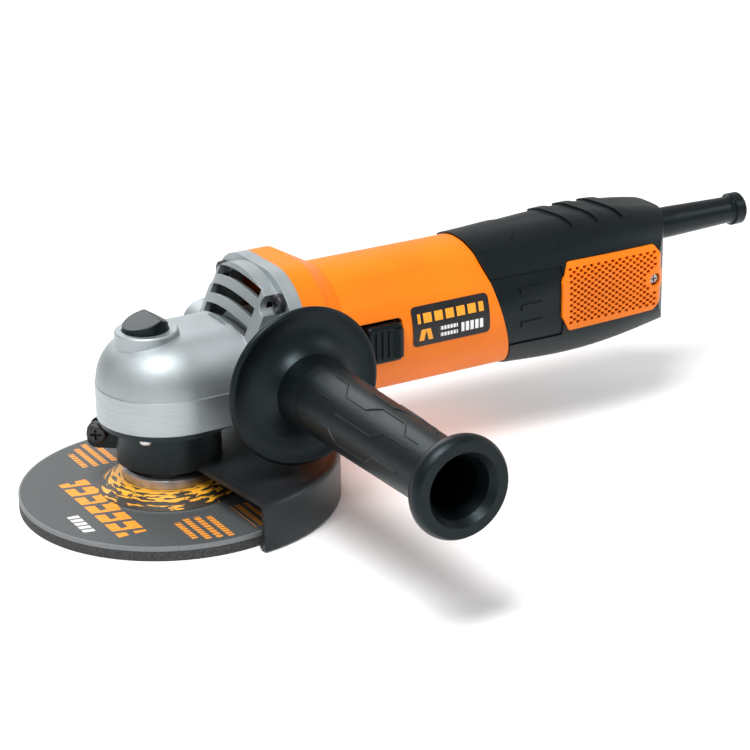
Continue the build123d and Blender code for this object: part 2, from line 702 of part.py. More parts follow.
cover_screw_spots = [Vector(COVER_SCREW_R, 0, COVER_LOW_Z).rotate(Axis.Z, a) for a in cover_screw_angles]
cover_screw_set = [
    pan_screw(Plane(origin=spot, z_dir=(0, 0, -1)), 2.8, 2.0, 1.5, 9.0) for spot in cover_screw_spots
]
with BuildPart() as bearing_cover_screws:
    add(cover_screw_set)
bearing_cover_screws.part.label = "bearing_cover_screws"
export_step(bearing_cover_screws.part, "parts/bearing_cover_screws.step")

# ================================================================ guard with its clamp band
guard_end = GUARD_START + GUARD_SPAN


def polar(radius, angle, z=None):
    """Point at a radius and an angle in degrees about the spindle."""
    x = radius * math.cos(math.radians(angle))
    y = radius * math.sin(math.radians(angle))
    if z is None:
        return (x, y)
    return (x, y, z)


def sector_face(inner_r, outer_r, start, end, height):
    """Flat ring sector about the spindle at a height."""
    middle = (start + end) / 2
    with BuildSketch(Plane.XY.offset(height)) as plan:
        with BuildLine():
            ThreePointArc(polar(outer_r, start), polar(outer_r, middle), polar(outer_r, end))
            Line(polar(outer_r, end), polar(inner_r, end))
            ThreePointArc(polar(inner_r, end), polar(inner_r, middle), polar(inner_r, start))
            Line(polar(inner_r, start), polar(outer_r, start))
        make_face()
    return plan.sketch


guard_plan = sector_face(BAND_R, GUARD_R, GUARD_START, guard_end, 0)
guard_hollow = sector_face(BAND_R - 5, GUARD_R - GUARD_T, GUARD_START - 5, guard_end + 5, -1)
guard_lip = sector_face(GUARD_R - 4.0, GUARD_R - 1, GUARD_START, guard_end, 0)
with BuildPart() as guard:
    extrude(guard_plan, amount=GUARD_TOP_Z)
    rim = guard.faces().sort_by(Axis.Z)[-1].edges().filter_by(GeomType.CIRCLE).sort_by(SortBy.RADIUS)[-1]
    fillet(rim, 3.0)
    extrude(guard_hollow, amount=GUARD_TOP_Z - GUARD_T + 1, mode=Mode.SUBTRACT)
    # rolled-in lower lip of the skirt
    extrude(guard_lip, amount=1.6)
guard.part.label = "guard"
export_step(guard.part, "parts/guard.step")

ear_gap_half = math.degrees(EAR_GAP / 2 / BAND_R)
band_end = EAR_ANGLE + 360 - ear_gap_half
band_plan = sector_face(BAND_IN_R, BAND_R, EAR_ANGLE + ear_gap_half, band_end, BAND_LOW_Z)
with BuildPart() as guard_band:
    extrude(band_plan, amount=BAND_TOP_Z - BAND_LOW_Z)
    # the two ears either side of the gap
    ear_plane = Plane(origin=(0, 0, BAND_LOW_Z + 1.0), x_dir=Vector(1, 0, 0).rotate(Axis.Z, EAR_ANGLE))
    ear_mid = (BAND_IN_R + 0.4 + EAR_R) / 2
    ear_long = EAR_R - BAND_IN_R - 0.4
    with BuildSketch(ear_plane):
        for side in (-1, 1):
            with Locations((ear_mid, side * (EAR_GAP + EAR_T) / 2)):
                Rectangle(ear_long, EAR_T)
    extrude(amount=BAND_TOP_Z - BAND_LOW_Z - 1.0)
    ear_ends = guard_band.edges().filter_by(lambda e: e.length > EAR_T - 0.01 and e.length < EAR_T + 0.01)
    far_ends = [e for e in ear_ends if math.hypot(e.center().X, e.center().Y) > EAR_R - 1]
    fillet(far_ends, 4.0)
    # foot that turns in under the plate, where the guard is welded on
    with BuildSketch(Plane.XY.offset(GUARD_TOP_Z - GUARD_T)):
        Circle(BAND_R)
        Circle(BAND_IN_R, mode=Mode.SUBTRACT)
    extrude(amount=GUARD_T)
    clamp_at = ear_plane.from_local_coords(Vector(EAR_R - 4.6, 0, CLAMP_HEIGHT))
    clamp_dir = Vector(0, 1, 0).rotate(Axis.Z, EAR_ANGLE)
    with BuildSketch(Plane(origin=clamp_at - clamp_dir * 10, z_dir=clamp_dir)):
        Circle(2.1)
    extrude(amount=20, mode=Mode.SUBTRACT)
guard_band.part.label = "guard_band"
export_step(guard_band.part, "parts/guard_band.step")

clamp_seat = Plane(origin=clamp_at + clamp_dir * (EAR_GAP / 2 + EAR_T), z_dir=clamp_dir)
clamp_screw = pan_screw(clamp_seat, 4.3, 3.2, 2.0, 13.0)
clamp_screw.label = "guard_clamp_screw"
export_step(clamp_screw, "parts/guard_clamp_screw.step")

with BuildPart() as clamp_nut:
    with BuildSketch(Plane(origin=clamp_at - clamp_dir * (EAR_GAP / 2 + EAR_T), z_dir=clamp_dir * -1)):
        RegularPolygon(4.0, 6)
        Circle(2.0, mode=Mode.SUBTRACT)
    extrude(amount=3.2)
clamp_nut.part.label = "guard_clamp_nut"
export_step(clamp_nut.part, "parts/guard_clamp_nut.step")

# ================================================================ motor housing
def seam_zone(shift):
    """Everything behind the slanted seam between the motor housing and the rear handle."""
    with BuildPart() as zone:
        with BuildSketch(Plane.XZ.offset(-50)):
            with BuildLine():
                ThreePointArc(
                    (SEAM_TOP[0] + shift, SEAM_TOP[1]),
                    (SEAM_MID[0] + shift, SEAM_MID[1]),
                    (SEAM_LOW[0] + shift, SEAM_LOW[1]),
                )
                Polyline(
                    (SEAM_LOW[0] + shift, SEAM_LOW[1]),
                    (SEAM_LOW[0] + shift + 6, 15),
                    (320, 15),
                    (320, 100),
                    (SEAM_TOP[0] + shift - 1.5, 100),
                    (SEAM_TOP[0] + shift, SEAM_TOP[1]),
                )
            make_face()
        extrude(amount=100)
    return zone.part


housing_end = seam_zone(0)
handle_start = seam_zone(SEAM_GAP)
facet_mid = (FACET_LOW + FACET_HIGH) / 2
facet_reach = BARREL_R * math.cos(math.radians((FACET_HIGH - FACET_LOW) / 2)) + 5
slider_mid_x = (SLIDER_X0 + SLIDER_X1) / 2
slider_mid_z = (SLIDER_Z0 + SLIDER_Z1) / 2
slider_l = SLIDER_X1 - SLIDER_X0
slider_h = SLIDER_Z1 - SLIDER_Z0
STATOR_SCREW_Z = 23.4

with BuildPart() as motor_housing:
    with BuildSketch(Plane.YZ.offset(JOINT_X)):
        with Locations((0, MOTOR_Z)):
            RectangleRounded(2 * JOINT_HALF, 2 * JOINT_HALF, JOINT_CORNER_R)
    extrude(amount=FLARE_X - JOINT_X)
    with BuildSketch(Plane.YZ.offset(FLARE_X)):
        with Locations((0, MOTOR_Z)):
            RectangleRounded(2 * JOINT_HALF, 2 * JOINT_HALF, JOINT_CORNER_R)
    with BuildSketch(Plane.YZ.offset(BARREL_X)):
        with Locations((0, MOTOR_Z)):
            RectangleRounded(2 * BARREL_R, 2 * BARREL_R, BARREL_R - 0.05)
    loft()
    with BuildSketch(Plane.YZ.offset(BARREL_X)):
        with Locations((0, MOTOR_Z)):
            Circle(BARREL_R)
        for side in (-1, 1):
            facet_y = side * facet_reach * math.sin(math.radians(facet_mid))
            facet_z = facet_reach * math.cos(math.radians(facet_mid))
            with Locations((facet_y, MOTOR_Z + facet_z)):
                Rectangle(30, 10, rotation=-side * facet_mid, mode=Mode.SUBTRACT)
    extrude(amount=100)
    add(housing_end, mode=Mode.SUBTRACT)
    # hollow
    with BuildSketch(Plane.YZ.offset(JOINT_X)):
        with Locations((0, MOTOR_Z)):
            RectangleRounded(2 * (JOINT_HALF - WALL), 2 * (JOINT_HALF - WALL), JOINT_CORNER_R - WALL)
    extrude(amount=FLARE_X - JOINT_X, mode=Mode.SUBTRACT)
    with BuildSketch(Plane.YZ.offset(FLARE_X)):
        with Locations((0, MOTOR_Z)):
            RectangleRounded(2 * (JOINT_HALF - WALL), 2 * (JOINT_HALF - WALL), JOINT_CORNER_R - WALL)
    with BuildSketch(Plane.YZ.offset(BARREL_X)):
        with Locations((0, MOTOR_Z)):
            RectangleRounded(2 * (BARREL_R - WALL), 2 * (BARREL_R - WALL), BARREL_R - WALL - 0.05)
    loft(mode=Mode.SUBTRACT)
    with BuildSketch(Plane.YZ.offset(BARREL_X)):
        with Locations((0, MOTOR_Z)):
            Circle(BARREL_R - WALL)
    extrude(amount=100, mode=Mode.SUBTRACT)
    # screw bosses in the flare and at the stator
    with BuildSketch(Plane.YZ.offset(JOINT_X)):
        for spot in case_screw_spots:
            with Locations((spot[0], spot[1] + MOTOR_Z)):
                Circle(4.3)
    extrude(amount=FLARE_X - JOINT_X)
    with BuildSketch(Plane.YZ.offset(JOINT_X)):
        for spot in case_screw_spots:
            with Locations((spot[0], spot[1] + MOTOR_Z)):
                Circle(2.0)
    extrude(amount=FLARE_X - JOINT_X, mode=Mode.SUBTRACT)
    with BuildSketch(Plane.YZ.offset(80)):
        for end in (-1, 1):
            with Locations((0, MOTOR_Z + end * STATOR_SCREW_Z)):
                Rectangle(7.2, 7.2)
                Circle(1.8, mode=Mode.SUBTRACT)
    extrude(amount=STATOR_X0 - 80)
    # window for the slide switch
    window_at = (slider_mid_x - SLIDER_TRAVEL / 2, -20, slider_mid_z)
    window_plane = Plane(origin=window_at, x_dir=(1, 0, 0), z_dir=(0, -1, 0))
    with BuildSketch(window_plane):
        RectangleRounded(slider_l + SLIDER_TRAVEL + 2 * WINDOW_GAP, slider_h + 2 * WINDOW_GAP, 2.0)
    extrude(amount=20, mode=Mode.SUBTRACT)
motor_housing.part.label = "motor_housing"
export_step(motor_housing.part, "parts/motor_housing.step")

LABEL_X0 = 99.5
LABEL_X1 = 137.0
LABEL_Z0 = 54.0
LABEL_Z1 = 70.8
with BuildPart() as name_plate:
    label_at = ((LABEL_X0 + LABEL_X1) / 2, -15, (LABEL_Z0 + LABEL_Z1) / 2)
    label_plane = Plane(origin=label_at, x_dir=(1, 0, 0), z_dir=(0, -1, 0))
    with BuildSketch(label_plane):
        RectangleRounded(LABEL_X1 - LABEL_X0, LABEL_Z1 - LABEL_Z0, 2.0)
    extrude(amount=25)
    with BuildSketch(Plane.YZ.offset(LABEL_X0 - 5)):
        with Locations((0, MOTOR_Z)):
            Circle(BARREL_R + 0.3)
            Circle(BARREL_R + 0.02, mode=Mode.SUBTRACT)
    extrude(amount=60, mode=Mode.INTERSECT)
name_plate.part.label = "name_plate"
export_step(name_plate.part, "parts/name_plate.step")

# ================================================================ slide switch
LINK_Y0 = -24.4
LINK_Y1 = -22.6
SWITCH_X = (184.0, 214.0)
with BuildPart() as switch_slider:
    cap_plane = Plane(origin=(slider_mid_x, -26.0, slider_mid_z), x_dir=(1, 0, 0), z_dir=(0, -1, 0))
    with BuildSketch(cap_plane):
        RectangleRounded(slider_l, slider_h, 2.4)
    extrude(amount=5.6)
    fillet(switch_slider.faces().sort_by(Axis.Y)[0].edges(), 1.6)
    # finger ribs across the cap
    with BuildSketch(Plane.XY.offset(SLIDER_Z0 + 2.5)):
        for rib in range(4):
            with Locations((slider_mid_x - 4.5 + rib * 3.0, -31.6)):
                Circle(0.7)
    extrude(amount=slider_h - 5)
    # raised thumb stop at the rear end
    with BuildSketch(Plane.XY.offset(SLIDER_Z0 + 2.0)):
        with BuildLine():
            Polyline(
                (SLIDER_X1 - 5.5, -31.5), (SLIDER_X1 - 2.6, -33.2), (SLIDER_X1 - 0.8, -32.6),
                (SLIDER_X1 - 0.4, -28.0), (SLIDER_X1 - 5.5, -28.0), close=True,
            )
        make_face()
    extrude(amount=slider_h - 4)
    # neck through the window and the pad on the link
    with BuildSketch(Plane(origin=(slider_mid_x, -26.0, slider_mid_z), x_dir=(1, 0, 0), z_dir=(0, 1, 0))):
        Rectangle(10.0, 7.0)
    extrude(amount=26.0 + LINK_Y0)
switch_slider.part.label = "switch_slider"
export_step(switch_slider.part, "parts/switch_slider.step")

with BuildPart() as switch_link:
    with BuildSketch(Plane.XZ.offset(-LINK_Y1)):
        with Locations(((slider_mid_x - 5 + SWITCH_X[0] + 4) / 2, slider_mid_z)):
            Rectangle(SWITCH_X[0] + 4 - slider_mid_x + 5, 7.0)
    extrude(amount=LINK_Y1 - LINK_Y0)
    with BuildSketch(Plane.XZ.offset(-LINK_Y1)):
        with Locations((SWITCH_X[0] + 2.5, slider_mid_z)):
            Rectangle(3.0, 5.0)
    extrude(amount=-8.0)
switch_link.part.label = "switch_link"
export_step(switch_link.part, "parts/switch_link.step")

with BuildPart() as switch_body:
    with Locations(((SWITCH_X[0] + SWITCH_X[1]) / 2, 0, slider_mid_z)):
        Box(SWITCH_X[1] - SWITCH_X[0], 26, 22)
    fillet(switch_body.edges().filter_by(Axis.X), 1.5)
    with Locations((SWITCH_X[0] + 2.5 - SLIDER_TRAVEL / 2, -12.0, slider_mid_z)):
        Box(SLIDER_TRAVEL + 4.4, 6.0, 5.8, mode=Mode.SUBTRACT)
    with Locations((SWITCH_X[1], 0, slider_mid_z)):
        with GridLocations(0.01, 12, 1, 2):
            Box(4.4, 1.0, 6.0, align=(Align.MIN, Align.CENTER, Align.CENTER))
switch_body.part.label = "switch_body"
export_step(switch_body.part, "parts/switch_body.step")

# ================================================================ motor
def shaft_plane(x):
    """Plane across the motor axis at a distance from the spindle."""
    return Plane(origin=(x, 0, MOTOR_Z), x_dir=(0, 1, 0), z_dir=(1, 0, 0))


with BuildPart() as armature_shaft:
    with BuildSketch(Plane.XZ):
        with BuildLine():
            Polyline(
                (9.9, MOTOR_Z), (9.9, MOTOR_Z + SHAFT_TIP_R), (29.0, MOTOR_Z + SHAFT_TIP_R),
                (29.0, MOTOR_Z + 6.2), (34.0, MOTOR_Z + 6.2), (34.0, MOTOR_Z + 5.0),
                (50.0, MOTOR_Z + 5.0), (50.0, MOTOR_Z + 5.5), (66.0, MOTOR_Z + 5.5),
                (66.0, MOTOR_Z + 6.0), (164.0, MOTOR_Z + 6.0), (164.0, MOTOR_Z + 5.0),
                (REAR_BEARING_X, MOTOR_Z + 5.0), (REAR_BEARING_X, MOTOR_Z + 3.5),
                (REAR_BEARING_X + 6.6, MOTOR_Z + 3.5), (REAR_BEARING_X + 6.6, MOTOR_Z), close=True,
            )
        make_face()
    revolve(axis=motor_axis)
armature_shaft.part.label = "armature_shaft"
export_step(armature_shaft.part, "parts/armature_shaft.step")

front_outer, front_inner = ball_bearing(shaft_plane(34.0), 5.0, 13.0, 8.0, 7)
front_outer.label = "front_bearing_outer"
export_step(front_outer, "parts/front_bearing_outer.step")
front_inner.label = "front_bearing_inner"
export_step(front_inner, "parts/front_bearing_inner.step")

rear_outer, rear_inner = ball_bearing(shaft_plane(REAR_BEARING_X), 3.5, 9.5, 6.0, 7)
rear_outer.label = "rear_bearing_outer"
export_step(rear_outer, "parts/rear_bearing_outer.step")
rear_inner.label = "rear_bearing_inner"
export_step(rear_inner, "parts/rear_bearing_inner.step")

FAN_R = 24.5
with BuildPart() as cooling_fan:
    with BuildSketch(shaft_plane(50.0)):
        Circle(9.0)
        Circle(5.5, mode=Mode.SUBTRACT)
    extrude(amount=14.0)
    with BuildSketch(shaft_plane(62.4)):
        Circle(FAN_R)
        Circle(5.5, mode=Mode.SUBTRACT)
    extrude(amount=1.6)
    with BuildSketch(shaft_plane(53.0)):
        with PolarLocations(16.2, 13):
            Rectangle(16.4, 1.3, rotation=14)
        Circle(FAN_R, mode=Mode.INTERSECT)
    extrude(amount=10.0)
cooling_fan.part.label = "cooling_fan"
export_step(cooling_fan.part, "parts/cooling_fan.step")

with BuildPart() as air_baffle:
    with BuildSketch(shaft_plane(70.0)):
        Circle(BARREL_R - WALL)
        Circle(16.0, mode=Mode.SUBTRACT)
        with Locations((LINK_Y1 - 4, 0)):
            Rectangle(12, 18.5, mode=Mode.SUBTRACT)
    extrude(amount=2.0)
air_baffle.part.label = "air_baffle"
export_step(air_baffle.part, "parts/air_baffle.step")

stator_len = STATOR_X1 - STATOR_X0
ARMATURE_SLOTS = 12
with BuildPart() as armature_core:
    with BuildSketch(shaft_plane(STATOR_X0)):
        Circle(ARMATURE_R)
        Circle(6.0, mode=Mode.SUBTRACT)
        with PolarLocations(ARMATURE_R - 3.5, ARMATURE_SLOTS):
            Circle(2.2, mode=Mode.SUBTRACT)
        with PolarLocations(ARMATURE_R - 0.5, ARMATURE_SLOTS):
            Rectangle(3.0, 1.4, mode=Mode.SUBTRACT)
    extrude(amount=stator_len)
armature_core.part.label = "armature_core"
export_step(armature_core.part, "parts/armature_core.step")

HEAD_COIL_L = 7.5
with BuildPart() as armature_windings:
    with BuildSketch(shaft_plane(STATOR_X0 - HEAD_COIL_L)):
        Circle(15.4)
        Circle(6.0, mode=Mode.SUBTRACT)
    extrude(amount=HEAD_COIL_L)
    with BuildSketch(shaft_plane(STATOR_X1)):
        Circle(15.4)
        Circle(6.0, mode=Mode.SUBTRACT)
    extrude(amount=HEAD_COIL_L)
    coil_faces = armature_windings.faces().sort_by(Axis.X)
    outer_faces = (coil_faces[0], coil_faces[-1])
    fillet([face.edges().sort_by(SortBy.LENGTH)[-1] for face in outer_faces], 3.5)
    with BuildSketch(shaft_plane(STATOR_X0)):
        with PolarLocations(ARMATURE_R - 3.5, ARMATURE_SLOTS):
            Circle(2.0)
    extrude(amount=stator_len)
armature_windings.part.label = "armature_windings"
export_step(armature_windings.part, "parts/armature_windings.step")

with BuildPart() as commutator:
    with BuildSketch(shaft_plane(COMMUTATOR_X[0])):
        Circle(COMMUTATOR_R)
        Circle(6.0, mode=Mode.SUBTRACT)
        with PolarLocations(COMMUTATOR_R, 24):
            Rectangle(1.6, 0.5, mode=Mode.SUBTRACT)
    extrude(amount=COMMUTATOR_X[1] - COMMUTATOR_X[0])
    with BuildSketch(shaft_plane(COMMUTATOR_X[0])):
        Circle(COMMUTATOR_R + 1.5)
        Circle(6.0, mode=Mode.SUBTRACT)
    extrude(amount=1.8)
commutator.part.label = "commutator"
export_step(commutator.part, "parts/commutator.step")

coil_y = (13.0, 17.0)
coil_z = (16.4, 19.2)
with BuildPart() as stator_core:
    with BuildSketch(shaft_plane(STATOR_X0)):
        Circle(STATOR_R)
        Rectangle(2 * STATOR_FLAT - 1.6, 80, mode=Mode.INTERSECT)
        Circle(STATOR_BORE_R, mode=Mode.SUBTRACT)
        for sy in (-1, 1):
            for sz in (-1, 1):
                with Locations((sy * sum(coil_y) / 2, sz * sum(coil_z) / 2)):
                    Rectangle(coil_y[1] - coil_y[0] + 0.2, coil_z[1] - coil_z[0] + 0.2, mode=Mode.SUBTRACT)
        for sz in (-1, 1):
            with Locations((0, sz * STATOR_SCREW_Z)):
                Circle(1.9, mode=Mode.SUBTRACT)
    extrude(amount=stator_len)
stator_core.part.label = "stator_core"
export_step(stator_core.part, "parts/stator_core.step")

coil_mid_x = (STATOR_X0 + STATOR_X1) / 2
with BuildPart() as field_coils:
    for sz in (-1, 1):
        coil_base = MOTOR_Z + sz * sum(coil_z) / 2 - (coil_z[1] - coil_z[0]) / 2
        with BuildSketch(Plane.XY.offset(coil_base)):
            with Locations((coil_mid_x, 0)):
                RectangleRounded(stator_len + 11, 2 * coil_y[1], 4.0)
                Rectangle(stator_len + 1, 2 * coil_y[0], mode=Mode.SUBTRACT)
        extrude(amount=coil_z[1] - coil_z[0])
field_coils.part.label = "field_coils"
export_step(field_coils.part, "parts/field_coils.step")

stator_seats = [
    Plane(origin=(STATOR_X1, 0, MOTOR_Z + sz * STATOR_SCREW_Z), x_dir=(0, 1, 0), z_dir=(1, 0, 0))
    for sz in (-1, 1)
]
stator_screw_set = [pan_screw(seat, 3.0, 2.4, 1.8, 50.0) for seat in stator_seats]
with BuildPart() as stator_screws:
    add(stator_screw_set)
stator_screws.part.label = "stator_screws"
export_step(stator_screws.part, "parts/stator_screws.step")

# ================================================================ brush gear and rear bearing seat
BRUSH_X = 154.0
BRUSH_L = 9.0
BRUSH_TOP = 26.2
with BuildPart() as brush_bracket:
    with BuildSketch(shaft_plane(142.8)):
        Circle(BARREL_R - WALL - 0.2)
        Circle(13.0, mode=Mode.SUBTRACT)
        with Locations((LINK_Y1 - 4, 0)):
            Rectangle(12, 18.5, mode=Mode.SUBTRACT)
    extrude(amount=3.2)
    with BuildSketch(shaft_plane(146.0)):
        for sy in (-1, 1):
            with Locations((sy * 15.5, 0)):
                Rectangle(4.0, 12.0)
    extrude(amount=REAR_BEARING_X - 146.0)
    with BuildSketch(shaft_plane(REAR_BEARING_X - 3)):
        Rectangle(35.0, 12.0)
        Circle(13.6)
        Circle(8.0, mode=Mode.SUBTRACT)
    extrude(amount=10.0)
    with BuildSketch(shaft_plane(REAR_BEARING_X)):
        Circle(11.0)
    extrude(amount=10.0, mode=Mode.SUBTRACT)
brush_bracket.part.label = "brush_bracket"
export_step(brush_bracket.part, "parts/brush_bracket.step")

with BuildPart() as bearing_sleeve:
    with BuildSketch(shaft_plane(REAR_BEARING_X)):
        Circle(11.0)
        Circle(9.5, mode=Mode.SUBTRACT)
    extrude(amount=6.0)
bearing_sleeve.part.label = "rear_bearing_sleeve"
export_step(bearing_sleeve.part, "parts/rear_bearing_sleeve.step")


def brush_plane(end, reach):
    """Plane facing away from the commutator above (end +1) or below it (end -1)."""
    return Plane(origin=(BRUSH_X, 0, MOTOR_Z + end * reach), x_dir=(1, 0, 0), z_dir=(0, 0, end))


with BuildPart() as brush_holders:
    for end in (-1, 1):
        with BuildSketch(brush_plane(end, COMMUTATOR_R + 1.6)):
            Rectangle(9.6, 8.2)
            Rectangle(8.2, 6.4, mode=Mode.SUBTRACT)
        extrude(amount=BRUSH_TOP - COMMUTATOR_R - 1.6)
        with BuildSketch(brush_plane(end, BRUSH_TOP - 0.8)):
            Rectangle(9.6, 8.2)
        extrude(amount=0.8)
        with BuildSketch(brush_plane(end, 16.0)):
            with Locations((-6.4, 0)):
                Rectangle(3.2, 8.2)
        extrude(amount=6.0)
brush_holders.part.label = "brush_holders"
export_step(brush_holders.part, "parts/brush_holders.step")

with BuildPart() as carbon_brushes:
    for end in (-1, 1):
        with BuildSketch(brush_plane(end, COMMUTATOR_R + 0.06)):
            Rectangle(8.0, 6.2)
        extrude(amount=BRUSH_L)
carbon_brushes.part.label = "carbon_brushes"
export_step(carbon_brushes.part, "parts/carbon_brushes.step")

brush_spring_l = BRUSH_TOP - 0.8 - COMMUTATOR_R - 0.06 - BRUSH_L
brush_spring_set = []
for end in (-1, 1):
    with BuildPart() as brush_spring:
        spring_foot = brush_plane(end, COMMUTATOR_R + 0.06 + BRUSH_L + 0.35).origin
        with BuildLine():
            turns = Helix(1.2, brush_spring_l - 0.7, 2.4, center=spring_foot, direction=(0, 0, end))
        with BuildSketch(turns ^ 0):
            Circle(0.3)
        sweep(is_frenet=True)
    brush_spring_set.append(brush_spring.part)
with BuildPart() as brush_springs:
    add(brush_spring_set)
brush_springs.part.label = "brush_springs"
export_step(brush_springs.part, "parts/brush_springs.step")

# ================================================================ rear handle
# Cross-sections from front to back: station, width, height, corner radius, middle height
HANDLE_STATIONS = [
    (132.0, 59.4, 59.4, 29.4, 58.5),
    (168.0, 57.4, 61.0, 26.0, 58.7),
    (196.0, 55.4, 61.4, 23.0, 59.2),
    (222.0, 55.0, 57.0, 22.0, 60.3),
    (248.0, 52.0, 48.0, 20.0, 60.2),
]
HANDLE_NOSE_DEPTH = 17.0
HANDLE_WALL = 2.6
THUMB_PANEL_X = 135.0
THUMB_PANEL_L = 60.0
THUMB_PANEL_W = 31.0


def handle_solid(grow):
    """Outer form of the rear handle, thickened all round by grow, with its end rounded in plan."""
    with BuildPart() as form:
        for x, width, height, corner, middle in HANDLE_STATIONS:
            with BuildSketch(Plane.YZ.offset(x)):
                with Locations((0, middle)):
                    RectangleRounded(width + 2 * grow, height + 2 * grow, corner + grow)
        loft()
        nose = HANDLE_END_X + grow
        side_x = nose - HANDLE_NOSE_DEPTH
        with BuildSketch(Plane.XY.offset(10)):
            with BuildLine():
                ThreePointArc((side_x, -29), (nose, 0), (side_x, 29))
                Polyline((side_x, 29), (side_x, 45), (120, 45), (120, -45), (side_x, -45), (side_x, -29))
            make_face()
        extrude(amount=100, mode=Mode.INTERSECT)
    return form.part


handle_outer = handle_solid(0)
handle_inner = handle_solid(-HANDLE_WALL)
handle_pocket = handle_solid(-1.7)
handle_panel = handle_solid(-0.6)
handle_proud = handle_solid(0.5)
handle_raised = handle_solid(0.6)

VENT_X0 = 174.6
VENT_X1 = 227.8
VENT_Z0 = 45.6
VENT_Z1 = 76.2
VENT_GAP = 0.2
HOLE_W = 1.7
HOLE_H = 1.25
HOLE_PITCH_X = 3.7
HOLE_PITCH_Z = 2.64
VENT_SCREW = (224.0, 60.4)
POST_R = 4.6
CLAMP_X = 224.0
CLAMP_Z = SLEEVE_Z - CORD_BORE_R - 0.3
CLAMP_T = 3.0
CLAMP_SCREW_R = 1.5
PANEL_Z0 = 44.0
PANEL_Z1 = 75.0


def vent_hole_centres():
    """Centres of two staggered grids of holes, kept off the rim and the screw seat."""
    centres = []
    for shift in (0, 0.5):
        for column in range(14):
            for row in range(10):
                x = VENT_X0 + 4.6 + (column + shift) * HOLE_PITCH_X
                z = VENT_Z0 + 3.6 + (row + shift) * HOLE_PITCH_Z
                off_screw = math.hypot(x - VENT_SCREW[0], z - VENT_SCREW[1]) > 5.2
                off_rim = x < VENT_X1 - 3.2 and VENT_Z0 + 3 < z < VENT_Z1 - 3
                off_corner = x + abs(z - (VENT_Z0 + VENT_Z1) / 2) < VENT_X1 + 9.5
                if off_screw and off_rim and off_corner:
                    centres.append((x, z))
    return centres


def vent_outline(grow, perforated=False):
    """Outline of a vent cover in the XZ plane, grown by grow; the cover itself is perforated."""
    with BuildSketch(Plane.XZ) as plan:
        with BuildLine():
            Polyline(
                (VENT_X1, 64.8),
                (VENT_X1, VENT_Z1 - 5.5),
                (VENT_X1 - 4, VENT_Z1),
                (VENT_X0 + 4, VENT_Z1),
                (VENT_X0, VENT_Z1 - 8),
                (VENT_X0, VENT_Z0 + 7),
                (VENT_X0 + 4, VENT_Z0),
                (VENT_X1 - 4, VENT_Z0 + 0.6),
                (VENT_X1, VENT_Z0 + 5.5),
                (VENT_X1, 55.8),
            )
            ThreePointArc((VENT_X1, 55.8), (VENT_X1 + 2.8, 60.3), (VENT_X1, 64.8))
        make_face()
        fillet(plan.vertices(), 1.6)
        if grow:
            offset(amount=grow)
        if perforated:
            with Locations(*vent_hole_centres()):
                Rectangle(HOLE_W, HOLE_H, mode=Mode.SUBTRACT)
            with Locations(VENT_SCREW):
                Circle(2.9, mode=Mode.SUBTRACT)
    return plan.sketch


vent_plan = vent_outline(0, perforated=True)
vent_pocket_plan = vent_outline(VENT_GAP)
vent_window_plan = vent_outline(-3.0)


def vent_cover(side):
    """Curved perforated cover that follows the flank of the rear handle; side -1 is the left."""
    with BuildPart() as cover:
        extrude(vent_plan, amount=-side * 60)
        add(handle_proud, mode=Mode.INTERSECT)
        add(handle_pocket, mode=Mode.SUBTRACT)
    return cover.part


def handle_half(side):
    """One half shell of the rear handle; side -1 is the left."""
    with BuildPart() as half:
        add(handle_outer)
        add(handle_ridges.part)
        add(thumb_panel.part)
        add(handle_start, mode=Mode.INTERSECT)
        add(handle_inner, mode=Mode.SUBTRACT)
        # pocket for the vent cover, air window through its floor, and the screw post
        extrude(vent_window_plan, amount=-side * 60, mode=Mode.SUBTRACT)
        with BuildSketch(Plane.XZ):
            with Locations(VENT_SCREW):
                Circle(POST_R)
        extrude(amount=-side * 26.0)
        add(vent_pockets[side], mode=Mode.SUBTRACT)
        # pillar on the post that carries the cord clamp
        with Locations((CLAMP_X, side * 8.0, VENT_SCREW[1])):
            Box(6.0, 6.0, CLAMP_Z - CLAMP_T - VENT_SCREW[1], align=(Align.CENTER, Align.CENTER, Align.MIN))
            Cylinder(CLAMP_SCREW_R, 20.0, mode=Mode.SUBTRACT)
        # sunk flank panel with three raised bars
        add(panel_cuts[side], mode=Mode.SUBTRACT)
        # seat of the cord sleeve
        with BuildSketch(Plane.YZ.offset(230)):
            with Locations((0, SLEEVE_Z)):
                Circle(7.0)
        extrude(amount=40, mode=Mode.SUBTRACT)
        with BuildSketch(Plane.XZ):
            with Locations(VENT_SCREW):
                Circle(1.6)
        extrude(amount=-side * 60, mode=Mode.SUBTRACT)
        with BuildSketch(Plane.XZ.offset(-side * 24.0)):
            with Locations(VENT_SCREW):
                Circle(2.9)
        extrude(amount=-side * 20, mode=Mode.SUBTRACT)
        with BuildSketch(Plane.XZ):
            with Locations((190, 58)):
                Rectangle(200, 120)
        extrude(amount=-side * 60, mode=Mode.INTERSECT)
    return half.part


# round-ended panel that stands a little proud on top, next to the seam
with BuildPart() as thumb_panel:
    with BuildSketch(Plane.XY.offset(75)):
        with Locations((THUMB_PANEL_X, 0)):
            SlotOverall(THUMB_PANEL_L, THUMB_PANEL_W)
    extrude(amount=25)
    add(handle_raised, mode=Mode.INTERSECT)

with BuildPart() as handle_ridges:
    with BuildSketch(Plane.XY.offset(80)):
        for ridge in range(3):
            with Locations((189 + 13 * ridge, 0)):
                Rectangle(5.0, 30.0, rotation=8)
    extrude(amount=20)
    add(handle_solid(0.9), mode=Mode.INTERSECT)

